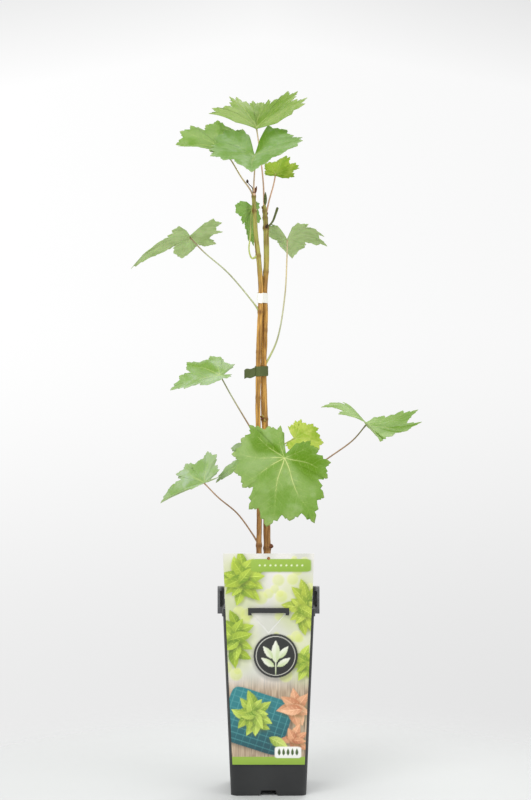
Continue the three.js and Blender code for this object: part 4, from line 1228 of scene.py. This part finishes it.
def card_shape(back_hue):
    """Thin closed sheet on a grid, s across from -1 to 1 and z up, x = s times the half width at z, with the
    bar's slot and a punched hole left out. It leans with the pot's wall. The hole's ring of points is drawn
    onto its circle, and the tongue stands forward by up to TONGUE_PROUD towards the slot."""
    low, high = (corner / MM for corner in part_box("plant_card"))
    z = np.linspace(low[2], high[2], round((high[2] - low[2]) / CARD_STEP))
    s = np.linspace(-1, 1, round(2 * CARD_HALF_HIGH / CARD_STEP))
    half = np.interp(z, [low[2], high[2]], [CARD_HALF_LOW, CARD_HALF_HIGH])
    for edge in (CARD_SLOT_LOW, CARD_SLOT_HIGH):
        z[np.argmin(np.abs(z - edge))] = edge
    middle = (CARD_SLOT_LOW + CARD_SLOT_HIGH) / 2
    slot = CARD_SLOT_HALF / np.interp(middle, z, half)
    for side in (-slot, slot):
        s[np.argmin(np.abs(s - side))] = side
    x = (half[:, None] * s).ravel()
    z = np.repeat(z, len(s))
    index = np.arange(len(z)).reshape(-1, len(s))
    quads = np.stack([index[:-1, :-1], index[:-1, 1:], index[1:, 1:], index[1:, :-1]], -1).reshape(-1, 4)
    hole_up = high[2] - CARD_HOLE_DOWN
    cx, cz = x[quads].mean(1), z[quads].mean(1)
    in_slot = (np.abs(cx) < CARD_SLOT_HALF) & (np.abs(cz - middle) < CARD_SLOT_HIGH - middle)
    in_hole = np.hypot(cx, cz - hole_up) < CARD_HOLE
    kept = quads[~in_slot & ~in_hole]
    ring = np.intersect1d(kept, quads[in_hole])
    from_hole = np.hypot(x[ring], z[ring] - hole_up)
    x[ring] *= CARD_HOLE / from_hole
    z[ring] = hole_up + (z[ring] - hole_up) * CARD_HOLE / from_hole
    used, faces = np.unique(kept, return_inverse=True)
    faces = faces.reshape(-1, 4)
    x, z = x[used], z[used]
    lip = -low[1] - wall_half(high[2]) - CARD_THICK
    back = -(wall_half(z) + lip)
    risen = smoothstep(0, 0.8, tongue_depth(x, z)) * (z - TONGUE_TIP) / (CARD_SLOT_LOW - TONGUE_TIP)
    forward = np.where(z <= CARD_SLOT_LOW, TONGUE_PROUD * np.clip(risen, 0, 1), 0)
    front = np.stack([x, back - CARD_THICK - forward, z], 1) * MM
    rear = np.stack([x, back - forward, z], 1) * MM
    total = len(x)
    sides = np.stack([faces, np.roll(faces, -1, 1)], -1).reshape(-1, 2)
    codes = sides[:, 0] * total + sides[:, 1]
    rim = sides[~np.isin(codes, sides[:, 1] * total + sides[:, 0])]
    walls = np.stack([rim[:, 1], rim[:, 0], rim[:, 0] + total, rim[:, 1] + total], -1)
    hue = np.concatenate([print_colours(x, z), np.tile(back_hue, (total, 1))])
    quads = np.concatenate([faces, faces[:, ::-1] + total, walls])
    return Shape(np.concatenate([front, rear]), quads, None, {"print": hue})


def moulded_copy(node, name, material, edge):
    """Copy of a CAD node with its points merged, its flat faces made whole and its edges rounded."""
    mesh = NODES[node].data.copy()
    mesh.name = name
    work = bmesh.new()
    work.from_mesh(mesh)
    bmesh.ops.remove_doubles(work, verts=work.verts, dist=1e-6)
    bmesh.ops.dissolve_limit(work, angle_limit=math.radians(1), verts=work.verts, edges=work.edges)
    work.to_mesh(mesh)
    work.free()
    mesh.materials.clear()
    mesh.materials.append(material)
    mesh.polygons.foreach_set("use_smooth", np.full(len(mesh.polygons), True))
    piece = bpy.data.objects.new(name, mesh)
    bpy.context.scene.collection.objects.link(piece)
    bevel = piece.modifiers.new("rounded_edges", "BEVEL")
    bevel.width = edge
    bevel.segments = 3
    bevel.limit_method = "ANGLE"
    bevel.angle_limit = math.radians(35)
    bevel.harden_normals = True
    return piece


def square_outline(half, corner, around):
    """Distance from the centre to a rounded square at an angle: the straight side, or the corner's circle
    where the ray meets it."""
    turned = np.abs((around + np.pi / 4) % (np.pi / 2) - np.pi / 4)
    straight = half / np.cos(turned)
    inner = half - corner
    middle = inner * math.sqrt(2)
    off = np.pi / 4 - turned
    arc = middle * np.cos(off) + np.sqrt(np.maximum(corner ** 2 - (middle * np.sin(off)) ** 2, 0))
    on_side = half * np.tan(turned) <= inner
    return np.where(on_side, straight, arc)


def compost_shape(lumps, hue):
    """Closed body in the pot. Its top is a rounded square filled by rings, raised by noise at three scales
    and drawn up a little at the wall, and its sides run down inside the pot."""
    n = SOIL_SIDES
    around = np.arange(n) * 2 * np.pi / n
    outline = square_outline(wall_half(SOIL_TOP) - SOIL_GAP, SOIL_CORNER, around)
    share = np.linspace(0, 1, SOIL_RINGS + 1)[1:]
    x = np.concatenate([[0], (share[:, None] * outline * np.cos(around)).ravel()])
    y = np.concatenate([[0], (share[:, None] * outline * np.sin(around)).ravel()])
    rough = lattice(x / 13 + 30, y / 13 + 30, 97, 41) + 0.5 * lattice(x / 5 + 60, y / 5 + 60, 97, 42)
    rough = rough + 0.3 * lattice(x / 2 + 90, y / 2 + 90, 193, 43)
    edge = np.concatenate([[0], np.repeat(share, n)]) ** 8
    z = SOIL_TOP - 1.5 + lumps / MM * 0.55 * rough * (1 - 0.6 * edge) + 1.0 * edge
    floor = square_outline(wall_half(SOIL_LOW) - SOIL_GAP, SOIL_CORNER, around)
    bottom = np.stack([floor * np.cos(around), floor * np.sin(around), np.full(n, SOIL_LOW)], 1)
    points = np.concatenate([np.stack([x, y, z], 1), bottom, [[0, 0, SOIL_LOW]]])
    quads, hub = disc_faces(SOIL_RINGS + 1, n)
    base = len(x) + np.arange(n)
    under = np.stack([np.full(n, len(points) - 1), np.roll(base, -1), base], -1)
    tint = np.tile(hue, (len(points), 1))
    return Shape(points * MM, quads, np.concatenate([hub, under]), {"tint": tint}), (x, y, z)


def turned(a, b, angle):
    """Two coordinates turned by an angle in their own plane."""
    return a * np.cos(angle) - b * np.sin(angle), a * np.sin(angle) + b * np.cos(angle)


def crumb_shape(count, surface, earth):
    """Loose crumbs: one small lump of four rings, copied with its own size, stretch, turn and tint, and set
    into the compost's surface. A few are pale grit."""
    rng = np.random.default_rng(5)
    x, y, z = surface
    pick = rng.choice(np.flatnonzero(np.hypot(x + 5, y) > 13), count)
    size = rng.gamma(2.2, 0.42, count) + 0.35
    stretch = rng.uniform(0.6, 1.3, (count, 3)) * size[:, None]
    levels = np.radians([-55, -15, 25, 62])
    around = np.arange(CRUMB_SIDES) * 2 * np.pi / CRUMB_SIDES
    ring = np.stack([np.cos(levels)[:, None] * np.cos(around), np.cos(levels)[:, None] * np.sin(around),
                     np.sin(levels)[:, None] + 0 * around], -1).reshape(-1, 3)
    lump = np.concatenate([ring, [[0, 0, -1], [0, 0, 1]]])
    bumps = rng.uniform(0.75, 1.2, (count, len(lump), 1))
    turn = rng.uniform(0, 2 * np.pi, count)[:, None]
    tilt = rng.uniform(-0.7, 0.7, count)[:, None]
    px, py, pz = np.moveaxis(lump * bumps * stretch[:, None], -1, 0)
    py, pz = turned(py, pz, tilt)
    px, py = turned(px, py, turn)
    centre = np.stack([x[pick], y[pick], z[pick] + 0.25 * size], 1)
    inside = square_outline(wall_half(SOIL_TOP) - 4.5, 6, np.arctan2(centre[:, 1], centre[:, 0]))
    far = np.hypot(centre[:, 0], centre[:, 1])
    centre[:, :2] *= np.minimum(1, inside / np.maximum(far, 1e-6))[:, None]
    points = np.stack([px, py, pz], -1) + centre[:, None]
    quads, caps = skin_faces(len(levels), CRUMB_SIDES)
    starts = np.arange(count)[:, None, None] * len(lump)
    hue = np.array(earth) * rng.uniform(0.5, 1.7, (count, 1))
    grit = rng.uniform(size=count) < 0.05
    hue[grit] = screen(206, 202, 192)
    return Shape(points.reshape(-1, 3) * MM, quads + starts, (caps + starts).reshape(-1, 3),
                 {"tint": np.repeat(hue, len(lump), 0)})


# ---- operators ----
# Camera place, and its lens as for a film 36 mm wide.
CAMERA_AT = (-3.5, -2000, 449)
CAMERA_LENS = 77.6
# The floor's reach and how far it lies below the pot, in metres.
FLOOR_REACH = 0.6
FLOOR_SIDES = 96
FLOOR_RINGS = 12
FLOOR_DROP = 0.0002
# Lamps: place, the height that they aim at and size, in metres, and power in watts.
LAMPS = {
    "key_light": ((-0.9, -1.5, 1.9), 0.5, 1.3, 26),
    "fill_light": ((1.5, -1.2, 0.9), 0.4, 1.4, 9),
    "back_light": ((0.5, 1.5, 1.7), 0.5, 1.2, 16),
}


class GRAPEVINE_OT_stage(bpy.types.Operator):
    """Pale floor, bright surroundings, soft lights and the camera"""
    bl_idname = "grapevine.stage"
    bl_label = "Stage"

    def execute(self, context):
        scene = context.scene
        scene.view_settings.view_transform = "Standard"
        scene.view_settings.look = "None"
        self.make_world(scene)
        self.make_floor()
        for name, settings in LAMPS.items():
            self.make_lamp(scene, name, *settings)
        lens = bpy.data.cameras.new("camera")
        lens.sensor_width = 36
        lens.lens = CAMERA_LENS
        lens.clip_start = 0.05
        camera = bpy.data.objects.new("camera", lens)
        camera.location = [value * MM for value in CAMERA_AT]
        camera.rotation_euler = (math.radians(90), 0, 0)
        scene.collection.objects.link(camera)
        scene.camera = camera
        return {"FINISHED"}

    def make_world(self, scene):
        """Bright all round: darker towards the ground, a little darker to the right, and dimmed in a belt
        above the eye's level that comes lower at the sides."""
        scene.world = bpy.data.worlds.new("studio")
        sky = Nodes(scene.world, "BACKGROUND")
        around = sky.node("ShaderNodeTexCoord", "Generated", {})
        x = sky.axis(around, "X")
        z = sky.axis(around, "Z")
        ground = sky.band(z, -0.18, 0.05, 0.81, 0.975)
        across = sky.band(x, -0.15, 0.15, 1.03, 0.965, "LINEAR")
        height = sky.math("MULTIPLY_ADD", sky.math("ABSOLUTE", x), 0.2, z)
        belt = sky.band(height, 0.205, 0.27, 1.0, 0.8, "LINEAR")
        above = sky.band(height, 0.5, 1.0, 0.8, 1.05, "LINEAR")
        bright = sky.math("MULTIPLY", ground, across)
        sky.set("Color", sky.math("MULTIPLY", bright, sky.math("MAXIMUM", belt, above)))
        sky.set("Strength", 1.0)

    def make_floor(self):
        """Disc under the pot that fades into the surroundings towards its rim."""
        a = np.arange(FLOOR_SIDES) * 2 * np.pi / FLOOR_SIDES
        share = np.linspace(0, 1, FLOOR_RINGS + 1)[1:]
        ring = share[:, None, None] * np.stack([np.cos(a), np.sin(a), 0 * a], 1) * FLOOR_REACH
        f = Finish("pale_floor", 0.55, 0.3)
        f.set("Base Color", screen(202, 204, 203))
        reach = f.node("ShaderNodeVectorMath", "Value", {0: f.place()}, operation="LENGTH")
        f.set("Alpha", f.band(reach, 0.14, FLOOR_REACH, 1.0, 0.0))
        points = np.concatenate([[[0, 0, 0]], ring.reshape(-1, 3)])
        floor = new_piece("floor", Shape(points, *disc_faces(FLOOR_RINGS, FLOOR_SIDES)), f.material)
        floor.location.z = -FLOOR_DROP

    def make_lamp(self, scene, name, place, aim, size, power):
        """Round soft lamp, turned towards a point on the vertical line through the pot."""
        lamp = bpy.data.lights.new(name, "AREA")
        lamp.shape = "DISK"
        lamp.size = size
        lamp.energy = power
        light = bpy.data.objects.new(name, lamp)
        light.location = place
        ahead = np.array((0, 0, aim)) - np.array(place)
        flat = math.hypot(ahead[0], ahead[1])
        light.rotation_euler = (math.atan2(flat, -ahead[2]), 0, math.atan2(ahead[1], ahead[0]) - math.pi / 2)
        scene.collection.objects.link(light)


class GRAPEVINE_OT_pot(bpy.types.Operator):
    """Tapered square pot with its lip, eyelets, plates and bars"""
    bl_idname = "grapevine.pot"
    bl_label = "Pot"

    def execute(self, context):
        sizes = context.scene.vine_sizes
        hues = context.scene.vine_colours
        pot = moulded_copy("pot_body", "pot", pot_finish(hues.pot), sizes.pot_edge)
        fit(pot, "pot_plastic", "pot_body")
        return {"FINISHED"}


class GRAPEVINE_OT_compost(bpy.types.Operator):
    """Compost that fills the pot, and the loose crumbs on it"""
    bl_idname = "grapevine.compost"
    bl_label = "Compost"

    def execute(self, context):
        sizes = context.scene.vine_sizes
        hues = context.scene.vine_colours
        finish = tinted_finish("compost", 0.9, 420, 0.0012)
        body, surface = compost_shape(sizes.soil_lumps, hues.compost)
        fit(new_piece("compost", body, finish), "compost", "potting_soil")
        crumbs = crumb_shape(sizes.crumbs, surface, hues.crumb)
        fit(new_piece("compost_crumbs", crumbs, finish), "compost")
        return {"FINISHED"}


class GRAPEVINE_OT_card(bpy.types.Operator):
    """Printed card on the front bar, with its cut tongue"""
    bl_idname = "grapevine.card"
    bl_label = "Card"

    def execute(self, context):
        shape = card_shape(context.scene.vine_colours.card_back)
        fit(new_piece("card", shape, card_finish(), smooth=False), "card", "plant_card")
        return {"FINISHED"}


class GRAPEVINE_OT_wood(bpy.types.Operator):
    """Foot and the two canes, in bark"""
    bl_idname = "grapevine.wood"
    bl_label = "Foot and canes"

    def execute(self, context):
        sizes = context.scene.vine_sizes
        hues = context.scene.vine_colours
        dark = hues.cane_dark
        young = hues.cane_green
        ripe = bark_finish("cane_bark", hues.cane, hues.cane_low, dark, young, YOUNG_FROM, 0.0003)
        old = bark_finish("old_bark", hues.foot, hues.foot, dark, young, NEVER_YOUNG, 0.0008)
        canes = (("cane_left", CANE_LEFT, KNOTS_LEFT, 3), ("cane_right", CANE_RIGHT, KNOTS_RIGHT, 9))
        for name, cane, knots, seed in canes:
            shape = cane_shape(cane, knots, sizes.bark_depth, seed)
            fit(new_piece(name + "_bark", shape, ripe), "cane_bark", name)
        fit(new_piece("foot_bark", foot_shape(sizes.foot_bark_depth), old), "old_bark", "trunk_foot")
        return {"FINISHED"}


class GRAPEVINE_OT_ties(bpy.types.Operator):
    """White tape above and green tape below, round both canes"""
    bl_idname = "grapevine.ties"
    bl_label = "Ties"

    def execute(self, context):
        hues = context.scene.vine_colours
        white = tape_finish("white_tape", hues.white_tape, 0.5, 0.4, 0.94, 0.0001)
        green = tape_finish("green_tape", hues.green_tape, 0.55, 0.35, 0.7, 0.0002)
        fit(new_piece("tape_white", tie_shape(**WHITE_TIE), white), "white_tape", "tie_white")
        band = joined([tie_shape(**GREEN_TIE), tail_shape()])
        fit(new_piece("tape_green", band, green), "green_tape", "tie_green")
        return {"FINISHED"}


class GRAPEVINE_OT_stalks(bpy.types.Operator):
    """Leaf stalks, thick where they leave a cane, flushed and shaded along their length"""
    bl_idname = "grapevine.stalks"
    bl_label = "Leaf stalks"

    def execute(self, context):
        hues = context.scene.vine_colours
        shapes = [stalk_shape(leaf, hues) for leaf in LEAVES.values()]
        nodes = ["stalk_" + name for name in LEAVES]
        fit(new_piece("leaf_stalks", joined(shapes), stalk_finish()), "leaf_stalk", *nodes)
        return {"FINISHED"}


class GRAPEVINE_OT_leaves(bpy.types.Operator):
    """Leaf blades, each in its own lobed and toothed outline"""
    bl_idname = "grapevine.leaves"
    bl_label = "Leaves"

    def execute(self, context):
        sizes = context.scene.vine_sizes
        hues = context.scene.vine_colours
        finish = leaf_finish(hues)
        for name, leaf in LEAVES.items():
            tint = getattr(hues, "leaf_" + leaf["tint"])
            puff = sizes.blade_puff * leaf["long"] / USUAL_LONG
            shape = leaf_shape(leaf, sizes.blade_thick, puff, sizes.rib_height, sizes.vein_step, tint)
            slot = "young_leaf" if leaf["tint"] == "young" else "leaf"
            fit(new_piece("blade_" + name, shape, finish), slot, "leaf_" + name)
        return {"FINISHED"}


class GRAPEVINE_OT_buds(bpy.types.Operator):
    """Buds at the knots, a tendril stub and two pruned spurs"""
    bl_idname = "grapevine.buds"
    bl_label = "Buds and stubs"

    def execute(self, context):
        shapes = [joint_bud(leaf["stalk"]) for leaf in LEAVES.values()]
        shapes += [bud_shape(*bud) for bud in BUDS] + [stub_shape(*stub) for stub in STUBS]
        finish = tinted_finish("bud_scales", 0.6, 900, 0.0003)
        fit(new_piece("buds_and_stubs", joined(shapes), finish), "cane_bark")
        return {"FINISHED"}


OPERATORS = (
    GRAPEVINE_OT_stage, GRAPEVINE_OT_pot, GRAPEVINE_OT_compost, GRAPEVINE_OT_card, GRAPEVINE_OT_wood,
    GRAPEVINE_OT_ties, GRAPEVINE_OT_stalks, GRAPEVINE_OT_leaves, GRAPEVINE_OT_buds,
)


class GRAPEVINE_PT_panel(bpy.types.Panel):
    """Lists the vine's pieces, its sizes and its colours"""
    bl_idname = "GRAPEVINE_PT_panel"
    bl_label = "Grapevine"
    bl_space_type = "VIEW_3D"
    bl_region_type = "UI"
    bl_category = "Grapevine"

    def draw(self, context):
        for operator in OPERATORS:
            self.layout.operator(operator.bl_idname)
        for settings in (context.scene.vine_sizes, context.scene.vine_colours):
            box = self.layout.box()
            for name in settings.__annotations__:
                box.prop(settings, name)


CLASSES = (VineSizes, VineColours) + OPERATORS + (GRAPEVINE_PT_panel,)


def register():
    for item in CLASSES:
        bpy.utils.register_class(item)
    bpy.types.Scene.vine_sizes = PointerProperty(type=VineSizes)
    bpy.types.Scene.vine_colours = PointerProperty(type=VineColours)


def unregister():
    del bpy.types.Scene.vine_colours
    del bpy.types.Scene.vine_sizes
    for item in reversed(CLASSES):
        bpy.utils.unregister_class(item)


def main():
    """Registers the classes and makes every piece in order."""
    register()
    for operator in OPERATORS:
        group, name = operator.bl_idname.split(".")
        getattr(getattr(bpy.ops, group), name)()
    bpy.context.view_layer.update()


if __name__ == "__main__":
    main()
